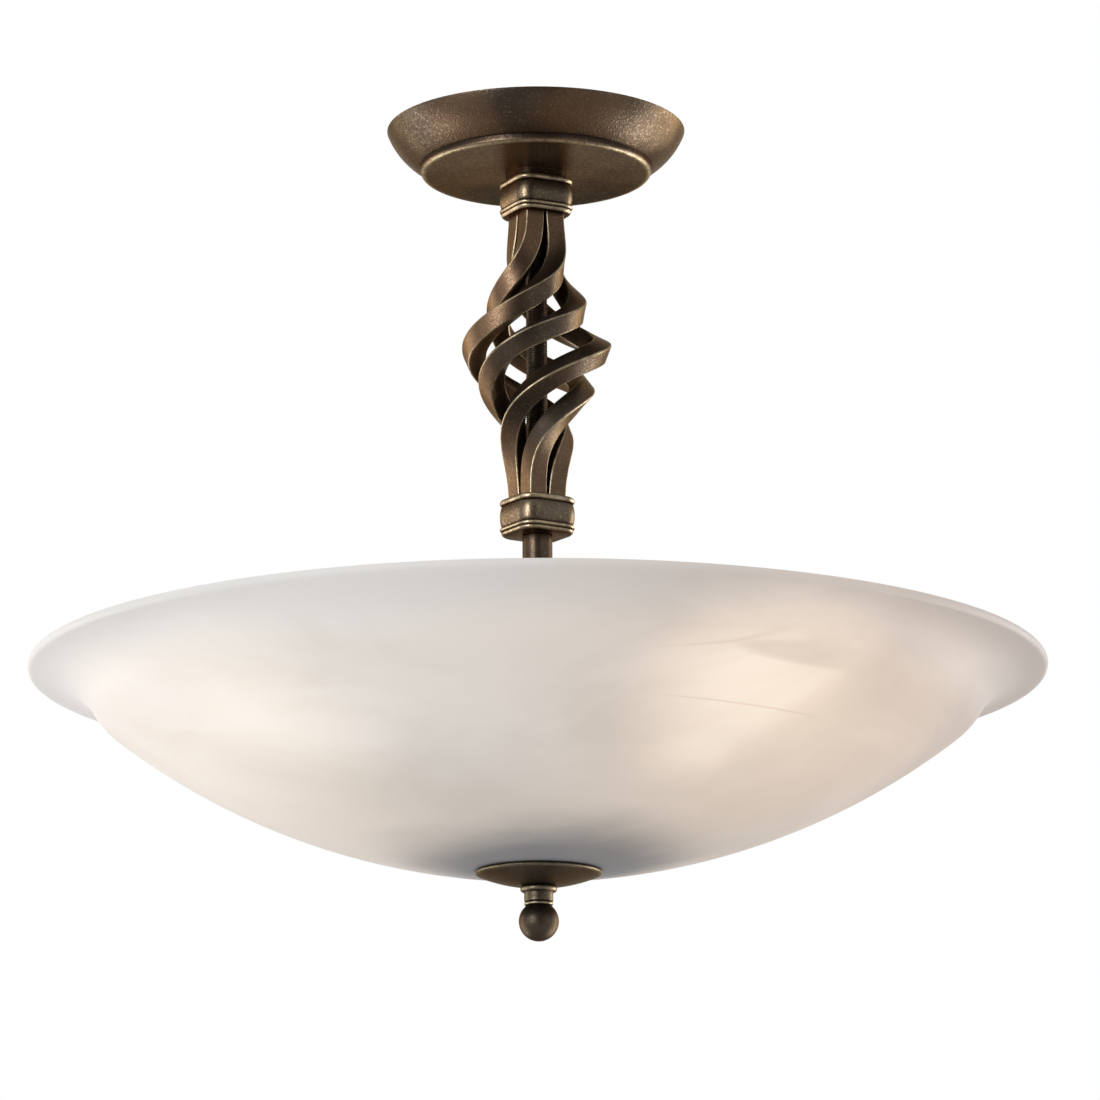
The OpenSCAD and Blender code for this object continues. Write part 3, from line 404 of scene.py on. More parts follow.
def alabaster():
    # Pressed glass with soft level clouds, with painted light across it: lighter and whiter on the left side,
    # warmer and darker on the right and darkest at the far right. Bulbs light it in wide halos and ragged
    # spots, whose brightness falls with the distance from their middles. Thin streaks cross the brightest
    # spot. The hub shades the glass round the plate.
    f = Finish("marbledGlass")
    v, c = glowValues, {key: colour(*value) for key, value in glassValues.items()}
    level = f.mapped((1, 1, 3.0))
    clouds = f.noise(7, 4.0, 0.55, 0.8, level)
    milk = f.noise(4, 3.0, 0.5, 0.5, level)

    def border(value, key, share=1.0):
        low, high = glassBorders[key]
        return f.span(value, low * mm, high * mm, 0.0, share)

    def uneven(value, noise, amount):
        return f.math("ADD", value, f.times(f.math("SUBTRACT", noise, 0.5), amount))

    def around(point, ragged, near, far, share=1.0, place=f.place):
        # The share near a point, falling to nothing far from it
        inputs = {0: place, 1: tuple(np.array(point) * mm)}
        gap = f.add("VectorMath", inputs, output="Value", operation="DISTANCE")
        return f.span(uneven(gap, clouds, ragged * mm), near * mm, far * mm, share, 0.0)

    across = uneven(f.add("SeparateXYZ", {"Vector": f.place}, output=0), milk, 0.12)
    height = f.add("SeparateXYZ", {"Vector": f.place}, output=2)
    # Painted light: lighter and whiter on the left, warmer and darker on the right, darkest at the far right;
    # the lip follows the same sides
    side = border(across, "side")
    cloudy = f.span(clouds, 0.34, 0.68)
    body = f.mix(side, f.mix(cloudy, c["cream"], c["cloud"]), f.mix(cloudy, c["warm"], c["warmCloud"]))
    body = f.mix(f.span(milk, 0.5, 0.72, 0, 0.5), body, c["milk"])
    body = f.mix(border(across, "far", 0.8), body, c["far"])
    body = f.mix(border(height, "low", 0.6), body, c["low"])
    body = f.mix(border(height, "lip", 0.8), body, f.mix(side, c["lip"], c["lipWarm"]))

    spots = halo = lines = 0.0
    for spot, size, ragged, share in zip(v["spots"], v["sizes"], v["ragged"], v["shares"]):
        spots = f.math("MAXIMUM", spots, around(spot, ragged, v["core"], size, share))
    for turn in lampTurns:
        middle = heading(np.array(turn)) * v["reach"] + np.array([0, 0, lampZ])
        halo = f.math("MAXIMUM", halo, around(middle, v["haloRagged"], *v["halo"]))

    # A streak lies where a stretched noise is close to its middle value
    for turn, density in (((0, 0.16, 0), 16), ((0.05, -0.30, 0), 11)):
        drawn = f.noise(density, 0.0, 0.4, 0.0, f.mapped((0.3, 0.3, 3.2), turn))
        thin = f.span(f.math("ABSOLUTE", f.math("SUBTRACT", drawn, 0.5)), 0.0, v["streakWidth"], 1.0, 0.0)
        lines = f.math("MAXIMUM", lines, thin)
    near = around(v["spots"][1], v["streakRagged"], *v["streaks"])
    lines = f.times(lines, f.times(near, border(height, "streaks")))
    body = f.mix(f.times(lines, v["streakShare"]), body, c["streak"])

    flat = f.add("VectorMath", {0: f.place, 1: (1, 1, 0)}, operation="MULTIPLY")
    shade = around(v["shadeMiddle"], v["shadeRagged"], *v["shade"], v["shadeShare"], flat)
    body = f.mix(shade, body, c["shade"])

    black = (0, 0, 0, 1)
    light = f.mix(spots, f.mix(f.times(halo, v["haloShare"]), black, c["halo"]), c["glow"])
    light = f.mix(f.times(lines, v["streakShadow"]), light, black)
    f.set(Base_Color=body, Roughness=0.6, Specular_IOR_Level=0.1)
    f.set(Emission_Color=light, Emission_Strength=v["strength"])
    f.set(Normal=f.bump(clouds, 0.1, 0.2))
    return f.material


finishes = {                  # one for each slot
    "canopy": agedBronze("castBronze", grain=1.7, grainSize=1.15, polish=0.34, rub=0.35, edges=True),
    "collars": agedBronze("collarBronze", grain=0.9, grainSize=1.2, polish=0.32, rub=0.45, edges=True),
    "bars": agedBronze("barBronze", grain=0.8, grainSize=0.7, polish=0.36, rub=0.34, edges=True,
                       warmFrom=0.36),
    "hub": agedBronze("smoothBronze", grain=0.3, grainSize=0.8, polish=0.42, rub=0.08, edges=True),
    "sleeves": agedBronze("tubeBronze", grain=0.4, grainSize=0.8, polish=0.34, rub=0.2, brushed=0.8),
    "rod": agedBronze("rodBronze", grain=0.3, grainSize=0.6, polish=0.45, rub=0.05),
    "zinc_steel": platedSteel(),
    "brass": warmBrass(),
    "black_plastic": moulded("blackPlastic", (26, 25, 25), (34, 33, 33), 0.36, 0.02),
    "white_plastic": moulded("whitePlastic", (226, 224, 218), (214, 212, 206), 0.4, 0.02),
    "rubber": moulded("rubber", (38, 38, 40), (50, 50, 51), 0.72, 0.06),
    "flex": moulded("goldFlex", (176, 144, 84), (150, 118, 62), 0.34, 0.01),
    "opal_glass": opalGlass(),
    "alabaster_glass": alabaster(),
}
finishes["plate"] = finishes["finial"] = finishes["hub"]
finishes["bulb_caps"] = finishes["brass"]
print("finishes made")

# Camera, lamps and floor

cameraValues = {
    "place": (0.0056, -2.2428, -0.7102),
    "pitch": 12.95,
    "roll": -0.25,
    "lens": 169.16,
    "sensor": 36,
}


def addCamera(v):
    # The photo's viewpoint: from the front, below the bowl and looking up by the pitch
    cam = newObject("camera", bpy.data.cameras.new("camera"))
    cam.data.sensor_width, cam.data.lens = v["sensor"], v["lens"]
    cam.data.clip_start, cam.data.clip_end = 0.05, 60
    turn = Matrix.Rotation(math.radians(90 + v["pitch"]), 3, "X")
    roll = Matrix.Rotation(math.radians(v["roll"]), 3, "Z")
    cam.rotation_mode = "QUATERNION"
    cam.rotation_quaternion = (turn @ roll).to_quaternion()
    cam.location = v["place"]
    bpy.context.scene.camera = cam


stageValues = {
    "floorDrop": 6.0,         # far enough down for a view from steeply below
    "floorReach": 19.0,
    "floorSides": 96,
    "worldLevel": 0.8,
    "flagAt": -3.2,           # a dark grey card behind the camera, which only reflections see
    "flagSize": (3.0, 3.4),
    "flagMiddle": -0.1,
}
lampValues = {
    "left": {"at": (-2.3, -1.0, -0.3), "size": (0.5, 1.4), "power": 5},
    "right": {"at": (2.3, -0.8, -0.3), "size": (0.4, 1.2), "power": 1},
    "backLeft": {"at": (-1.8, 1.9, -1.5), "size": (0.9, 0.9), "power": 7},
    "backRight": {"at": (1.8, 1.9, -1.5), "size": (0.9, 0.9), "power": 1.5},
    "sheenLeft": {"at": (-2.0, 1.0, -0.85), "size": (1.5, 2.8), "power": 64, "sheen": True},
    "sheenRight": {"at": (2.0, 1.2, -0.85), "size": (1.6, 2.8), "power": 125, "sheen": True},
    "sheenFront": {"at": (-1.5, -2.0, 0.1), "size": (0.8, 1.6), "power": 54, "sheen": True},
}


def addLamp(name, at, size, power, sheen=False):
    # A soft box that faces the middle of the light. A sheen lamp shows only in reflections.
    data = bpy.data.lights.new(name, "AREA")
    data.shape, data.size, data.size_y, data.energy = "RECTANGLE", size[0], size[1], power
    lamp = newObject(name, data)
    lamp.location = at
    lamp.visible_camera = False
    lamp.visible_diffuse = not sheen
    toMiddle = Vector((0, 0, -0.2)) - Vector(at)
    lamp.rotation_mode = "QUATERNION"
    lamp.rotation_quaternion = toMiddle.to_track_quat("-Z", "Y")


def addBackdrop(name, finishName, corners, grain, first, second):
    # One flat face in two close matt tones, which is no part of the light
    mesh = bpy.data.meshes.new(name)
    mesh.from_pydata(corners, [], [list(range(len(corners)))])
    f = Finish(finishName)
    f.set(Base_Color=f.mix(f.noise(*grain), colour(*first), colour(*second)), Roughness=0.9)
    mesh.materials.append(f.material)
    piece = newObject(name, mesh)
    return piece


def addStage(v):
    # A round pale floor with its edge far away, a grey card that darkens reflections, and a world that looks
    # white but lights less strongly
    a = np.arange(v["floorSides"]) * fullTurn / v["floorSides"]
    ring = polarPoints(v["floorReach"], a, -v["floorDrop"])
    addBackdrop("floor", "paleFloor", ring.tolist(), (0.8, 2.0, 0.5), (238, 237, 235), (242, 241, 240))
    (w, h), z = v["flagSize"], v["flagMiddle"]
    corners = [(x * w / 2, v["flagAt"], z + y * h / 2) for x, y in ((-1, -1), (-1, 1), (1, 1), (1, -1))]
    flag = addBackdrop("flag", "greyCard", corners, (300.0,), (88, 86, 84), (98, 96, 94))
    flag.visible_camera = flag.visible_diffuse = flag.visible_shadow = flag.visible_transmission = False

    f = Finish("studio", world=True)
    bpy.context.scene.world = f.material
    seen = [f.add("LightPath", {}, output=f"Is {kind} Ray") for kind in ("Camera", "Glossy", "Transmission")]
    white = f.math("MAXIMUM", f.math("MAXIMUM", seen[0], seen[1]), seen[2])
    f.set(Color=f.mix(white, (*[v["worldLevel"]] * 3, 1), (1, 1, 1, 1)))


addCamera(cameraValues)
addStage(stageValues)
for lampName, lampSettings in lampValues.items():
    addLamp(lampName, **lampSettings)
bpy.context.scene.view_settings.view_transform = "Standard"
print("camera, lamps and floor placed")

# Canopy

canopyValues = {
    "radius": 67.5,
    "height": 20.4,
    "curve": 32.0,
    "disc": 52.2,
    "discHeight": 3.6,
    "recess": 0.3,
    "wall": 1.8,
    "bore": 5.2,
    "boreEdge": 0.3,
    "bossWidth": 6.0,         # flat ring of the face round the bore
    "lipSteps": 20,
    # how bright the disc's edge is: worn, with a painted highlight
    "lipShine": 0.6,
}


def canopyOutline(v):
    # Side: one arc from the ceiling to the disc. Disc: a half-round edge and a slightly sunk flat face.
    sideH = v["height"] - v["discHeight"]
    run = v["radius"] - v["disc"]
    half = math.hypot(run, sideH) / 2
    lean = math.atan2(sideH, run)
    bulge = math.sqrt(v["curve"] ** 2 - half**2)
    cx = (v["radius"] + v["disc"]) / 2 - bulge * math.sin(lean)
    cz = -sideH / 2 + bulge * math.cos(lean)
    edge = v["discHeight"] / 2

    def angleAt(r, z):
        return -math.degrees(math.asin(min(1, (cz - z) / r)))

    side = arcPoints(cx, cz, v["curve"], angleAt(v["curve"], 0), angleAt(v["curve"], -sideH), 40)
    side = np.concatenate([side[:1] + [-0.5, 0], side[:1] + [-0.1, -0.12], side[1:]])  # rounded top edge
    stop = math.degrees(math.asin((edge - v["recess"]) / edge)) - 180
    lip = arcPoints(v["disc"] - edge, edge - v["height"], edge, 0, stop, v["lipSteps"])
    face = -(v["height"] - v["recess"])
    innerR = v["curve"] - v["wall"]
    innerStop = -math.degrees(math.acos((v["disc"] - v["wall"] - cx) / innerR))
    inner = arcPoints(cx, cz, innerR, innerStop, angleAt(innerR, 0), 30)
    bore, ease, back = v["bore"], v["boreEdge"], face + v["wall"]
    mouth = [[bore + v["bossWidth"], face], [bore + ease, face], [bore, face + ease], [bore, back]]
    outline = np.concatenate([side, lip, mouth, [[v["disc"] - v["wall"], back]], inner])
    wearAndPaintedLight = np.zeros(len(outline))
    lipFrom, lipTo = len(side), len(side) + v["lipSteps"] + 1
    # The disc's half-round edge: worn bright with a painted highlight
    wearAndPaintedLight[lipFrom:lipTo] = v["lipShine"] * np.sin(np.linspace(0.0, 2.9, lipTo - lipFrom)) ** 3
    wearAndPaintedLight[lipFrom - 2:lipFrom + 1] = [-0.4, -0.9, -0.5]      # painted shade in the groove above the lip
    return outline, wearAndPaintedLight


outline, wearAndPaintedLight = canopyOutline(canopyValues)
addTurned("canopyShell", outline, "fixture", "canopy", "canopy", wearAndPaintedLight, steps=256)
print("canopy made")

# Collars

collarValues = {
    "half": 14.2,
    "height": 16.5,
    "corner": 7.5,
    "cornerSteps": 10,
    "groove": 0.9,
    "barrelBulge": 0.95,      # how far the barrel and the last bead come out again, as shares of the groove
    "lastBulge": 0.7,
    "topBead": 2.8,
    "lowBead": 2.0,
    "taper": 0.6,
    "neckHeight": 3.4,
    "neckInset": 1.2,
    "bore": 5.2,
    "upperTop": -23.5,
    "lowerTop": -171.6,
    "upperTurn": -18.0,
    "lowerTurn": -12.4,
}


def collarRows(v, withNeck):
    # Depth, half width and painted light of each level: a bead is groove + proud sin(pi k), the barrel a
    # longer one.
    # The third value is worn bright with a painted highlight where a bead stands out, and painted shade in
    # the grooves.
    def bead(depth, height, proud, steps, taper=0.0, shine=1.0):
        k = np.linspace(0, 1, steps + 1)
        down, out = (1 - np.cos(np.pi * k)) / 2, np.sin(np.pi * k)
        width = v["half"] - v["groove"] - taper * down + proud * out
        return np.stack([depth + height * down, width, shine * out**3 - 0.9 * (1 - out) ** 4], -1)

    barrel = v["height"] - v["topBead"] - 2 * v["lowBead"]
    low = v["topBead"] + barrel
    rows = [
        bead(0, v["topBead"], v["groove"], 12, shine=0.8),
        bead(v["topBead"], barrel, v["groove"] * v["barrelBulge"], 22, shine=0.12)[1:],
        bead(low, v["lowBead"], v["groove"], 12, shine=0.85)[1:],
        bead(low + v["lowBead"], v["lowBead"], v["groove"] * v["lastBulge"], 12, v["taper"], 0.7)[1:],
    ]
    if withNeck:
        side = v["half"] - v["groove"] - v["neckInset"]
        rows.insert(0, np.array([[-v["neckHeight"], side, 0], [-0.6, side, 0], [-0.1, side + 0.3, 0]]))
    return np.concatenate(rows)


def collarPoints(v, top, azimuth, withNeck):
    # Rounded square: corner centres at (half - corner) on the diagonals, plus an arc of the corner radius.
    # The bore's points lie at the same polar angles on its circle.
    rows = collarRows(v, withNeck)
    steps = v["cornerSteps"]
    quarterOf, k = np.divmod(np.arange(4 * (steps + 1)), steps + 1)
    a = quarter * (quarterOf + k / steps)
    m = quarter * quarterOf + np.pi / 4
    turn = np.radians(azimuth - 135)
    half, corner = rows[:, 1:2], v["corner"]
    x = (half - corner) * np.sqrt(2) * np.cos(m) + corner * np.cos(a)
    y = (half - corner) * np.sqrt(2) * np.sin(m) + corner * np.sin(a)
    polar = np.arctan2(y[0], x[0])
    bore = np.stack([v["bore"] * np.cos(polar), v["bore"] * np.sin(polar)])
    x = np.concatenate([bore[:1], x, bore[:1]])
    y = np.concatenate([bore[1:], y, bore[1:]])
    depth = np.concatenate([rows[:1, 0], rows[:, 0], rows[-1:, 0]])[:, None]
    turnedX, turnedY = x * np.cos(turn) - y * np.sin(turn), x * np.sin(turn) + y * np.cos(turn)
    points = np.stack([turnedX, turnedY, top - depth + 0 * x], -1)
    shine = np.concatenate([[0], rows[:, 2], [0]])[:, None]
    # Painted highlight, stronger near the rounded corners; the painted shade in the grooves is kept
    nearCorner = np.exp(-((k / steps - 0.5) / 0.3) ** 2)[None]
    wearAndPaintedLight = shine * np.where(shine > 0, 0.6 + 0.4 * nearCorner, 1.0) + 0.12 * nearCorner * (shine > 0)
    return points, wearAndPaintedLight


for collarName, top, azimuth, withNeck in (
    ("upper", collarValues["upperTop"], collarValues["upperTurn"], True),
    ("lower", collarValues["lowerTop"], collarValues["lowerTurn"], False),
):
    points, wearAndPaintedLight = collarPoints(collarValues, top, azimuth, withNeck)
    addPiece(collarName + "Casting", points, "fixture", "collars",
             collarName + "_collar", wearAndPaintedLight)
print("collars made")

# Basket

basketValues = {
    "top": -40.0,
    "length": 131.6,
    "endRadius": 7.071,
    "radius": 28.3,
    "width": 8.9,
    "bevel": 0.7,
    "cope": 5.0,
    "turn": 354.4,
    "azimuth": -18.0,
    "ease": 0.75,             # shares of one and of two waves by which the turn lags and dips
    "dip": 0.25,
    "place": 0.49,            # middle, width and even part of the swelling
    "share": 0.145,
    "foot": 0.28,
    "seat": 3.8,
    "rings": 260,
    "cornerSteps": 5,
    "sideSteps": 3,
    # Painted highlight on the rounded edges, partly wear, and painted shade on the two inner sides
    "edgeShine": 0.6,
    "paintedShade": -0.45,
}


def barPoints(v, i):
    # A square bar, one edge outwards, whose middle line turns about the axis and swells out by a bell curve
    # mixed with an even hump (1 - cos) / 2
    def bell(u):
        return 1 / (1 + ((u - v["place"]) / v["share"]) ** 2)

    def bulgeAt(u):
        rest = bell(0) + (bell(1) - bell(0)) * u
        rise = (bell(u) - rest) / (1 - bell(0) - (bell(1) - bell(0)) * v["place"])
        return (1 - v["foot"]) * rise + v["foot"] * (1 - np.cos(fullTurn * u)) / 2

    def azimuthAt(u):
        lag = v["ease"] * np.sin(fullTurn * u) / fullTurn
        dip = v["dip"] * np.sin(2 * fullTurn * u) / (2 * fullTurn)
        return v["azimuth"] + 90 * i - v["turn"] * (u - lag - dip)

    def middle(u):
        radius = v["endRadius"] + (v["radius"] - v["endRadius"]) * bulgeAt(u)
        level = np.stack([0 * u, 0 * u, v["top"] - v["length"] * u], -1)
        return radius[:, None] * heading(azimuthAt(u)) + level

    u = np.linspace(0, 1, v["rings"] + 1)
    step = 0.5 / v["rings"]
    along = unit(middle(u + step) - middle(u - step))
    along[0] = along[-1] = [0, 0, -1]
    centre = middle(u)
    face = heading(azimuthAt(u) + 45)
    seat = np.array([0, 0, v["seat"]])
    centre = np.concatenate([centre[:1] + seat, centre, centre[-1:] - seat])
    along = np.concatenate([along[:1], along, along[-1:]])
    face = np.concatenate([face[:1], face, face[-1:]])
    outward = unit(face - np.sum(face * along, -1, keepdims=True) * along)
    side = np.cross(along, outward)

    # Section: quarter arcs at the corners, and two points on the side after each
    steps, perCorner = v["cornerSteps"], v["cornerSteps"] + v["sideSteps"]
    q, k = np.divmod(np.arange(4 * perCorner), perCorner)
    bend = 1.3 * v["bevel"]
    reach = (v["width"] / 2 - bend) * np.sqrt(2)

    def corner(index, angle):
        diagonal = quarter * index + np.pi / 4
        return (reach * np.cos(diagonal) + bend * np.cos(angle),
                reach * np.sin(diagonal) + bend * np.sin(angle))

    p, r = corner(q, quarter * (q + np.clip(k, 0, steps) / steps))
    following = (q + 1) % 4
    nextP, nextR = corner(following, quarter * following)
    share = np.where(k > steps, (k - steps) / v["sideSteps"], 0.0)
    p, r = p + (nextP - p) * share, r + (nextR - r) * share
    points = centre[:, None] + p[:, None] * outward[:, None] + r[:, None] * side[:, None]
    # Inner sides are coped: points nearer the axis than the cope's radius move straight out to it
    fromAxis = np.hypot(points[..., 0], points[..., 1])
    points[..., :2] *= np.maximum(1, v["cope"] / fromAxis)[..., None]
    # Rounded edges: worn bright with a painted highlight. The two inner sides: painted shade
    shine = np.where(k > steps, 0.0, v["edgeShine"] * np.sin(np.pi * np.clip(k / steps, 0, 1)) ** 1.5)
    wearAndPaintedLight = np.where((k > steps) & (q > 0) & (q < 3), v["paintedShade"], shine)
    return points, np.tile(wearAndPaintedLight, (points.shape[0], 1))


for bar in range(4):
    points, wearAndPaintedLight = barPoints(basketValues, bar)
    middles = points.mean(1, keepdims=True).repeat(points.shape[1], 1)
    points = np.concatenate([middles[:1], points, middles[-1:]])
    wearAndPaintedLight = np.concatenate([wearAndPaintedLight[:1] * 0, wearAndPaintedLight, wearAndPaintedLight[-1:] * 0])
    addPiece(f"basketBar{bar + 1}", points, "fixture", "bars", f"basket_bar_{bar + 1}", wearAndPaintedLight, closeRows=False)
print("basket made")

# Stem: rod, sleeves and hub

stemValues = {
    "rodRadius": 4.9,
    "rodBore": 3.6,
    "pitch": 1.0,
    "depth": 0.5,
    "sleeveRadius": 6.7,
    "sleeveBore": 5.2,
    "hubRadius": 24.0,
    "hubWall": 1.6,
    "hubShine": 0.6,
    "lidAir": 0.1,
    "lidRim": 2.0,
}


def heights(node):
    # Lowest and highest level of a node, in millimetres
    low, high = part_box(node)
    return low.z / mm, high.z / mm


def ringOutline(outer, bore, low, high, reach, steps=4):
    # A tube's section with its corners softened by reach
    return softened([[bore, low], [outer, low], [outer, high], [bore, high]], reach, steps)


v = stemValues
rodLow, rodHigh = heights("centre_rod")
points = threaded(v["rodRadius"], v["pitch"], v["depth"], rodLow, rodHigh, v["rodBore"],
                  around=20, perPitch=4)
addPiece("threadedRod", points, "fixture", "rod", "centre_rod")

for node in ("stem_sleeve", "spacer_sleeve"):
    low, high = heights(node)
    outline, wearAndPaintedLight = ringOutline(v["sleeveRadius"], v["sleeveBore"], low, high, 0.5)
    addTurned(node.split("_")[0] + "Sleeve", outline, "fixture", "sleeves", node, wearAndPaintedLight, steps=96)

# The hub is a cup with its mouth down, and its cover a lid with a rim that goes up inside it
hubLow, hubHigh = heights("hub_body")
lidLow = heights("hub_cover")[0]
r, w, bore = v["hubRadius"], v["hubWall"], v["sleeveBore"]
rimR, lidTop = r - w - v["lidAir"], lidLow + w
rimTop = lidTop + v["lidRim"]
hubCorners = [[r, hubLow], [r, hubHigh], [bore, hubHigh],
              [bore, hubHigh - w], [r - w, hubHigh - w], [r - w, hubLow]]
lidCorners = [[r, lidLow], [r, lidTop], [rimR, lidTop], [rimR, rimTop],
              [rimR - w, rimTop], [rimR - w, lidTop], [bore, lidTop], [bore, lidLow]]
for name, node, corners, reach, steps in (
    ("hubBody", "hub_body", hubCorners, [0.3, 2.4, 0.3, 0.3, 1.2, 0.3], 8),
    ("hubCover", "hub_cover", lidCorners, [0.9, 0.2, 0.2, 0.3, 0.3, 0.3, 0.3, 0.3], 5),
):
    # Convex corners: worn bright with a painted highlight
    outline, wearAndPaintedLight = softened(corners, np.array(reach), steps)
    addTurned(name, outline, "fixture", "hub", node, wearAndPaintedLight * v["hubShine"], steps=128)
print("stem and hub made")

# Small steel and brass parts keep their CAD shape and get rounded edges

for name, node, slot, width in (
    ("ceilingBracket", "ceiling_bracket", "zinc_steel", 0.5),
    ("bracketWasher", "bracket_washer", "zinc_steel", 0.15),
    ("bracketNut", "bracket_nut", "zinc_steel", 0.35),
    ("hubNut", "hub_nut", "zinc_steel", 0.35),
    ("earthScrew", "earth_screw", "brass", 0.2),
    ("terminalBlock", "terminal_block", "white_plastic", 0.5),
    ("terminalScrews", "terminal_screws", "brass", 0.12),
    ("blockScrew", "block_screw", "zinc_steel", 0.12),
    ("nippleNuts", "nipple_nuts", "brass", 0.3),
    ("seatWasher", "seat_washer", "zinc_steel", 0.3),
):
    softCopy(name, node, slot, width)
print("fasteners made")

# Lamps: nipples, holders and bulbs

lampSizes = {
    "nippleRadius": 4.95,
    "nippleBore": 3.3,
    "nippleStart": 17.0,      # every start and end is a distance from the stem's axis
    "nippleEnd": 32.2,
    "capStart": 27.2,
    "holderStart": 43.2,
    "holderEnd": 70.2,
    "holderRadius": 19.0,
    "holderWall": 2.4,
    "capBore": 5.0,
    "capBase": 4.0,
    "ringPitch": 3.0,         # coarse thread for a shade ring
    "ringDepth": 0.8,
    "holderRim": 0.8,
    "contactBore": 1.3,
    "shellStart": 46.8,
    "shellEnd": 67.2,
    "threadPitch": 3.629,
    "threadDepth": 0.9,
    "bulbCap": 13.1,
    "bulbCapStart": 54.6,
    "bulbCapEnd": 76.6,
    "footStart": 49.5,
    "globeMiddle": 124.5,
    "globeRadius": 30.0,
    "globeWall": 0.8,
    "neckAir": 0.7,
    "neckTail": 5.0,          # how far the neck goes into the cap
}


def lampPlace(turn):
    # Local (x, y, z) goes to x (0, 0, -1) + y side + z heading, from the lamp's centre on the stem's axis
    out = heading(np.array(turn))
    side = np.array([-out[1], out[0], 0])

    def place(points):
        x, y, z = points[..., 0:1], points[..., 1:2], points[..., 2:3]
        return x * np.array([0, 0, -1.0]) + y * side + z * out + np.array([0, 0, lampZ])

    return place


def holderCapOutline(v):
    # Domed cap: a quarter round shoulder, then a plain wall with a rounded edge at its open end
    r, wall, shoulder = v["holderRadius"], v["holderWall"], v["holderRadius"] / 2
    start, end = v["capStart"], v["holderStart"]
    outside = arcPoints(r - shoulder, start + shoulder, shoulder, -90, 0, 16)
    rim = softened([[r, end - 3], [r, end], [r - wall, end], [r - wall, end - 3]], 0.4, 3)[0][4:12]
    base, bore = v["capBase"], v["capBore"]
    stop = -math.degrees(math.asin((shoulder - base) / (shoulder - wall)))
    inner = arcPoints(r - shoulder, start + shoulder, shoulder - wall, 0, stop, 12)
    return np.concatenate([[[bore, start]], outside, rim, inner, [[bore, start + base]]])


def holderPoints(v, around=144):
    # Holder body: r = radius - depth (1 - cos(z / pitch - t)) / 2 on its middle stretch, and a bulkhead at
    # its inner end
    start, end, rim = v["holderStart"], v["holderEnd"], v["holderRim"]
    z = np.linspace(start, end, 110)[:, None]
    t = (np.arange(around) * fullTurn / around)[None]
    ease = np.clip(np.minimum(z - start - 3.5, end - 2.5 - z) / 1.2, 0, 1)
    wave = 0.5 - 0.5 * np.cos(fullTurn * z / v["ringPitch"] - t)
    rounding = np.clip((z - end + rim) / rim, 0, 1) ** 2 * rim
    r = v["holderRadius"] - v["ringDepth"] * wave * ease - rounding
    wallR, hole = v["holderRadius"] - v["holderWall"], v["contactBore"]
    inner = np.array([[wallR, end], [wallR, v["shellStart"]], [hole, v["shellStart"]], [hole, start]])
    r = np.concatenate([r, np.repeat(inner[:, :1], around, 1)])
    return polarPoints(r, t, np.concatenate([z, inner[:, 1:2]]))


def globeOutline(v):
    # Neck, straight flank that touches the ball, then the ball, as a thin wall
    def side(r, neck):
        drop = v["bulbCapEnd"] - v["globeMiddle"]
        touch = math.degrees(math.atan2(drop, neck) + math.acos(r / math.hypot(neck, drop)))
        ball = arcPoints(0, v["globeMiddle"], r, touch, 90, 48)
        ball[-1, 0] = 0
        flank = np.linspace([neck, v["bulbCapEnd"]], ball[0], 9)[:-1]
        return np.concatenate([flank, ball])

    neck, wall = v["bulbCap"] - v["neckAir"], v["globeWall"]
    outer, inner = side(v["globeRadius"], neck), side(v["globeRadius"] - wall, neck - wall)
    # The flank leaves the neck in a soft curve
    along = outer[:, 1] - v["bulbCapEnd"]
    outer[:, 0] -= 0.5 * np.exp(-(along / 7.0) ** 2) * np.clip(along / 4, 0, 1)
    tail = v["bulbCapEnd"] - v["neckTail"]
    return np.concatenate([[[neck - wall, tail], [neck, tail]], outer, inner[::-1]])


def footOutline(v):
    # Foot contact: a low brass dome on the black insulator's cone
    start, end = v["footStart"], v["bulbCapStart"] - 0.1
    outline = [[0, start], [3.2, start + 0.1], [4.3, start + 0.5], [4.6, start + 1.2], [5.6, start + 1.25],
               [7.0, start + 1.9], [v["bulbCap"] - 2.2, end - 0.7], [v["bulbCap"] - 1.5, end], [0, end]]
    return softened(outline, np.array([0, 0.4, 0.4, 0.2, 0.2, 0.6, 0.5, 0.2, 0]))[0]


nipples = []
for number, turn in enumerate(lampTurns, 1):
    place, v = lampPlace(turn), lampSizes
    nipple = threaded(v["nippleRadius"], stemValues["pitch"], stemValues["depth"], v["nippleStart"],
                      v["nippleEnd"], v["nippleBore"], around=40, perPitch=6)
    nipples.append(place(nipple))
    addTurned(f"holderCap{number}", holderCapOutline(v), "fixture", "black_plastic",
              f"holder_cap_{number}", steps=144, place=place)
    addPiece(f"lampHolder{number}", place(holderPoints(v)), "fixture", "black_plastic",
             f"lamp_holder_{number}")
    shell = threaded(v["bulbCap"] + 0.05, v["threadPitch"], v["threadDepth"], v["shellStart"] + 0.5,
                     v["shellEnd"], v["bulbCap"] + 0.55, around=96, perPitch=12, inside=True)
    addPiece(f"screwShell{number}", place(shell), "fixture", "brass", f"screw_shell_{number}")
    addTurned(f"bulbFoot{number}", footOutline(v), f"bulb_{number}_foot", "bulb_caps",
              f"bulb_foot_{number}", steps=72, place=place)
    cap = threaded(v["bulbCap"], v["threadPitch"], v["threadDepth"], v["bulbCapStart"], v["bulbCapEnd"],
                   v["bulbCap"] - 1.6, around=96, perPitch=12, fade=0.6)
    addPiece(f"bulbCap{number}", place(cap), f"bulb_{number}", "bulb_caps", f"bulb_cap_{number}")
    addTurned(f"bulbGlobe{number}", globeOutline(v), f"bulb_{number}", "opal_glass",
              f"bulb_globe_{number}", steps=128, place=place)
addPiece("nipples", np.array(nipples), "fixture", "brass", "holder_nipples")
print("lamps made")

# Bowl and its washers

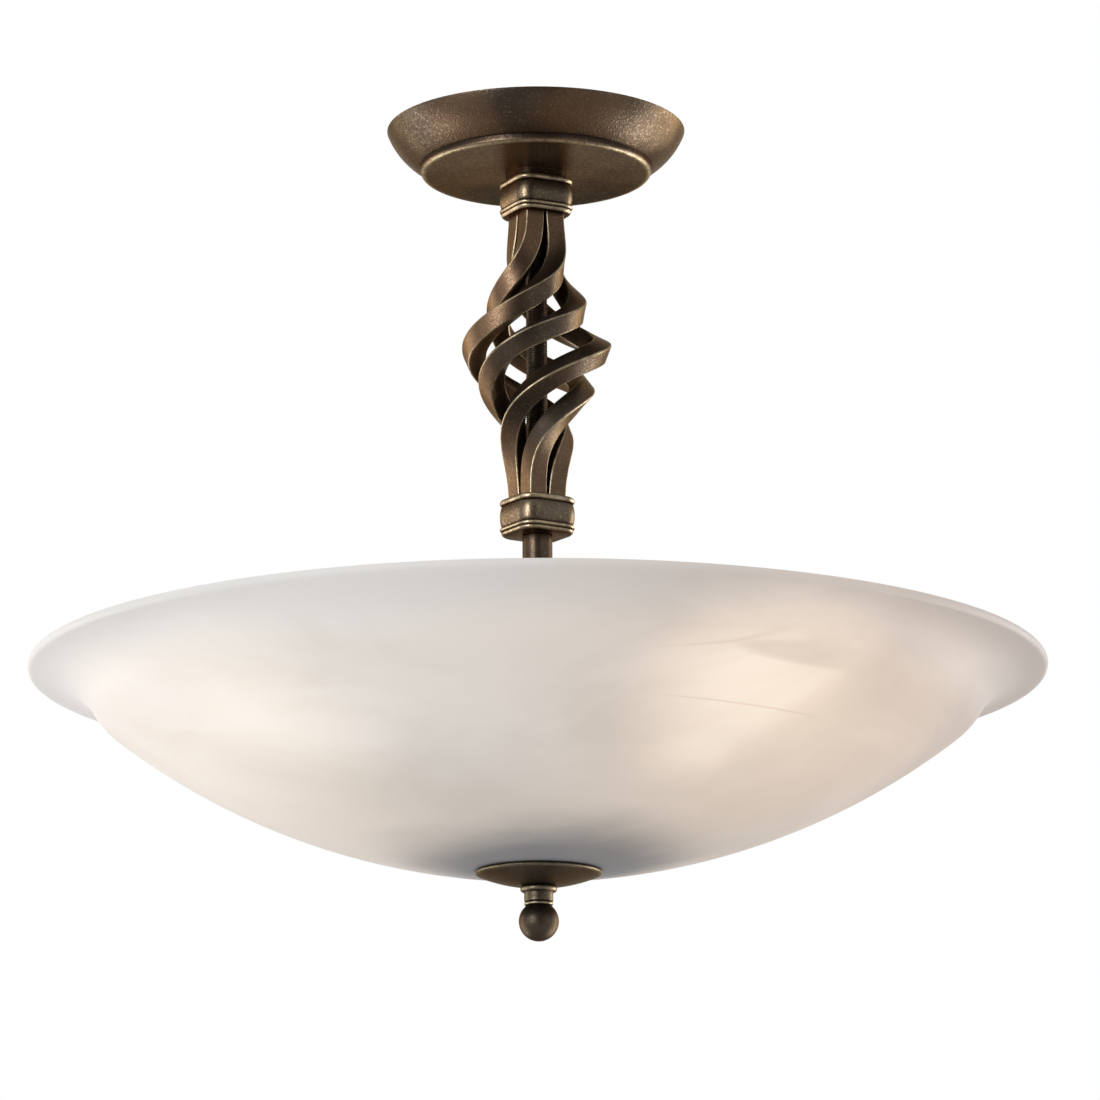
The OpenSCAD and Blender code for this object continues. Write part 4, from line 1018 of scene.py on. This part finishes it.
bowlValues = {
    "radius": 225.0,
    "rim": -251.0,
    "depth": 89.0,
    "glass": 4.0,
    "lip": 36.0,
    "drop": 25.0,
    "shoulder": 32.0,
    "slope": 60.0,
    "hole": 6.0,
}


def bowlOutline(v):
    # Dish of one arc up to the shoulder, a tighter arc, then a counter arc out into the lip
    edge, rise = v["radius"] - v["lip"], v["depth"] - v["drop"]
    dish = (edge**2 + rise**2) / (2 * rise)
    dishZ = v["rim"] - v["depth"] + dish
    dishAngle = math.asin(edge / dish)
    slack = dish - v["shoulder"]
    sx, sz = slack * math.sin(dishAngle), dishZ - slack * math.cos(dishAngle)
    slope = math.radians(v["slope"])
    px, pz = sx + v["shoulder"] * math.sin(slope), sz - v["shoulder"] * math.cos(slope)
    flare = (v["rim"] - v["glass"] / 2 - pz) / (1 - math.cos(slope))
    fx, fz = px + flare * math.sin(slope), pz - flare * math.cos(slope)

    def side(inset):
        first = math.degrees(math.asin(v["hole"] / (dish - inset)))
        a = arcPoints(0, dishZ, dish - inset, first - 90, math.degrees(dishAngle) - 90, 90)
        b = arcPoints(sx, sz, v["shoulder"] - inset, math.degrees(dishAngle) - 90, v["slope"] - 90, 18)[1:]
        c = arcPoints(fx, fz, flare + inset, v["slope"] + 90, 90, 22)[1:]
        return np.concatenate([a, b, c])

    lipEdge = arcPoints(v["radius"] - v["glass"] / 2, v["rim"], v["glass"] / 2, -90, 90, 14)
    return np.concatenate([side(0), lipEdge, side(v["glass"])[::-1]])


addTurned("marbledBowl", bowlOutline(bowlValues), "bowl_and_plate", "alabaster_glass", "bowl",
          steps=300, sharp=60)

rubberValues = {
    "radius": 17.0,
    "upperBore": 5.2,
    "lowerBore": 5.5,
    "rounding": 0.8,
}
for name, node, body, bore in (
    ("upperRubber", "upper_rubber", "fixture", rubberValues["upperBore"]),
    ("lowerRubber", "lower_rubber", "bowl_and_plate", rubberValues["lowerBore"]),
):
    low, high = heights(node)
    outline, wearAndPaintedLight = ringOutline(rubberValues["radius"], bore, low, high, rubberValues["rounding"], 5)
    addTurned(name, outline, body, "rubber", node, steps=96)
print("bowl made")

# Plate and finial

plateValues = {
    "radius": 28.7,
    "depth": 6.0,
    "thickness": 1.2,
    "bore": 5.5,
    "edgeRound": 0.58,
    "edgeGap": 1.0,           # angle short of the edge at which the two arcs stop
    "edgeShine": 0.2,
}


def plateOutline(v, crown):
    # Two arcs about one centre, joined by a round edge that is rubbed bright and has a painted highlight. The
    # crown is the lowest level that the outer arc would reach without the bore.
    curve = (v["radius"] ** 2 + v["depth"] ** 2) / (2 * v["depth"])
    inner = curve - v["thickness"]
    first, innerFirst, stop = (math.degrees(math.asin(x)) - 90 for x in
                               (v["bore"] / curve, v["bore"] / inner, v["radius"] / curve))
    outside = arcPoints(0, crown + curve, curve, first, stop - v["edgeGap"], 40)
    inside = arcPoints(0, crown + curve, inner, stop - v["edgeGap"], innerFirst, 40)
    lean = math.radians(stop)
    onwards, radial = np.array([[-math.sin(lean), math.cos(lean)], [math.cos(lean), math.sin(lean)]])
    k = np.radians(np.linspace(-80, 80, 9))[:, None]
    edge = (outside[-1] + inside[0]) / 2 + v["edgeRound"] * (np.cos(k) * onwards - np.sin(k) * radial)
    shine = v["edgeShine"]
    wearAndPaintedLight = np.concatenate([np.zeros(len(outside) - 3), [shine / 4, shine * 0.6, shine], np.full(9, shine),
                           np.zeros(len(inside))])
    return np.concatenate([outside, edge, inside]), wearAndPaintedLight


curve = (plateValues["radius"] ** 2 + plateValues["depth"] ** 2) / (2 * plateValues["depth"])
plateCrown = heights("bottom_plate")[0] - (curve - math.sqrt(curve**2 - plateValues["bore"] ** 2))
outline, wearAndPaintedLight = plateOutline(plateValues, plateCrown)
addTurned("bottomPlate", outline, "bowl_and_plate", "plate", "bottom_plate", wearAndPaintedLight)

finialValues = {
    "flange": 8.1,
    "flangeHeight": 2.5,
    "neck": 6.4,
    "pinch": 0.9,
    "bead": 1.6,
    "ball": 8.8,
    "bore": 4.95,
    "boreDepth": 10.8,
    "flangeShine": 0.3,
    "beadShine": 0.6,
}


def finialOutline(v, low, high):
    # Half-round flange, neck with a groove and a bead, then the ball down to its pole
    half = v["flangeHeight"] / 2
    ballZ = low + v["ball"]
    pinch = v["neck"] - v["pinch"]
    neckLow = ballZ + math.sqrt(v["ball"] ** 2 - pinch**2)
    beadTop = neckLow + v["bead"]
    flange = arcPoints(v["flange"] - half, high - half, half, 90, -90, 18)
    neckR, neckTop = v["neck"], high - v["flangeHeight"]
    neck = np.array([[neckR + 0.35, neckTop - 0.1], [neckR + 0.06, neckTop - 0.4], [neckR, neckTop - 0.9],
                     [neckR, beadTop + 0.8], [neckR - 0.05, beadTop + 0.4], [neckR - 0.6, beadTop + 0.05]])
    bead = arcPoints(neckR - v["bead"] / 2, beadTop - v["bead"] / 2, v["bead"] / 2, 45, -45, 10)
    start = math.degrees(math.acos(pinch / v["ball"]))
    ball = arcPoints(0, ballZ, v["ball"], start, -90, 60)
    ball[-1, 0] = 0
    bore, floor = v["bore"], high - v["boreDepth"]
    hole = np.array([[0, floor], [bore - 0.4, floor], [bore, floor + 0.4],
                     [bore, high - 0.3], [bore + 0.3, high]])
    # The flange and the bead are worn bright with a painted highlight
    wearAndPaintedLight = np.concatenate([v["flangeShine"] * np.sin(np.linspace(0, np.pi, len(flange))) ** 2,
                           [0, 0, 0.1, 0.1, 0.1, 0],
                           v["beadShine"] * np.sin(np.linspace(0, np.pi, len(bead))),
                           np.zeros(len(ball) + len(hole))])
    return np.concatenate([flange, neck, bead, ball, hole]), wearAndPaintedLight


low, high = heights("finial")
outline, wearAndPaintedLight = finialOutline(finialValues, low, high)
addTurned("ballFinial", outline, "finial", "finial", "finial", wearAndPaintedLight, steps=128)
print("plate and finial made")

# Flexes

flexValues = {
    "radius": 1.5,
    "start": 44.6,
    "bend": 5.0,
    "topBend": 4.5,
    "boreAir": 0.15,
    "topLevel": -9.1,
    "levelGap": 3.2,
    "levels": (0, 2, 1),      # which level each flex crosses at, and which pole it goes to
    "poleGap": 8.0,
    "poles": (0, -1, 1),
    "mouthX": 22.0,
    "mouthZ": -10.0,
    "endX": 25.5,
    "coreRadius": 0.74,
    "offset": 0.74,
    "lay": 11.0,
    "spacing": 0.9,
    "sides": 10,
}


def flexPath(v, index, turn):
    # The CAD flex's middle line: out of the holder, up the rod's bore and over to the terminal block
    bend, topBend, endX, mouthZ = v["bend"], v["topBend"], v["endX"], v["mouthZ"]
    level = v["topLevel"] - v["levels"][index] * v["levelGap"]
    poleY = v["poles"][index] * v["poleGap"]
    out = heading(np.array(turn))
    lane = (stemValues["rodBore"] - v["radius"] - v["boreAir"]) * out
    a = np.radians(np.linspace(0, 90, 9))[:, None]
    up = np.array([0, 0, 1.0])
    run = np.linspace(v["start"] * out + up * lampZ, lane + bend * out + up * lampZ, 12)[:-1]
    turnUp = lane + (1 - np.sin(a)) * bend * out + up * (lampZ + bend - bend * np.cos(a))
    bendX = lane[0] + topBend
    rise = np.linspace(turnUp[-1], [lane[0], lane[1], level - topBend], 120)[1:-1]
    quarterArc = np.concatenate([-np.cos(a), 0 * a, np.sin(a)], 1)
    over = np.array([bendX, lane[1], level - topBend]) + topBend * quarterArc
    t = np.linspace(0, 1, 15)[1:, None]
    ease = t * t * (3 - 2 * t)
    start, mouth = np.array([bendX, lane[1], level]), np.array([v["mouthX"], poleY, mouthZ])
    sway = start + (mouth - start) * np.concatenate([t, ease, ease], 1)
    return np.concatenate([run, turnUp, rise, over, sway, [[endX, poleY, mouthZ]]])


def twistedCores(path, v):
    # Two cores wound about the middle line: each is offset by (cos, sin) of the length divided by the lay
    steps = np.linalg.norm(np.diff(path, axis=0), axis=1)
    length = np.r_[0, np.cumsum(steps)]
    even = np.linspace(0, length[-1], int(length[-1] / v["spacing"]))
    path = np.stack([np.interp(even, length, path[:, k]) for k in range(3)], -1)
    along = unit(np.gradient(path, axis=0))
    guide = unit(np.cross(along, np.array([0.31, 0.87, 0.38])))      # a direction that the path never takes
    other = np.cross(along, guide)
    a = fullTurn * even / v["lay"]
    around = np.arange(v["sides"]) * fullTurn / v["sides"]
    ring = np.cos(around)[None, :, None] * guide[:, None] + np.sin(around)[None, :, None] * other[:, None]
    cores = []
    for phase in (0, np.pi):
        shift = v["offset"] * (np.cos(a + phase)[:, None] * guide + np.sin(a + phase)[:, None] * other)
        core = (path + shift)[:, None] + v["coreRadius"] * ring
        middle = core.mean(1, keepdims=True).repeat(v["sides"], 1)
        cores.append(np.concatenate([middle[:1], core, middle[-1:]]))
    return np.array(cores)


for index, turn in enumerate(lampTurns):
    cores = twistedCores(flexPath(flexValues, index, turn), flexValues)
    addPiece(f"twistedFlex{index + 1}", cores, "fixture", "flex", f"flex_{index + 1}", closeRows=False)
print("flexes made")

# The contacts inside the holders keep their CAD mesh

for number in (1, 2, 3):
    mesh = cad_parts[f"centre_contact_{number}"].data
    mesh.materials.clear()
    mesh.materials.append(finishes["brass"])

print("object complete")
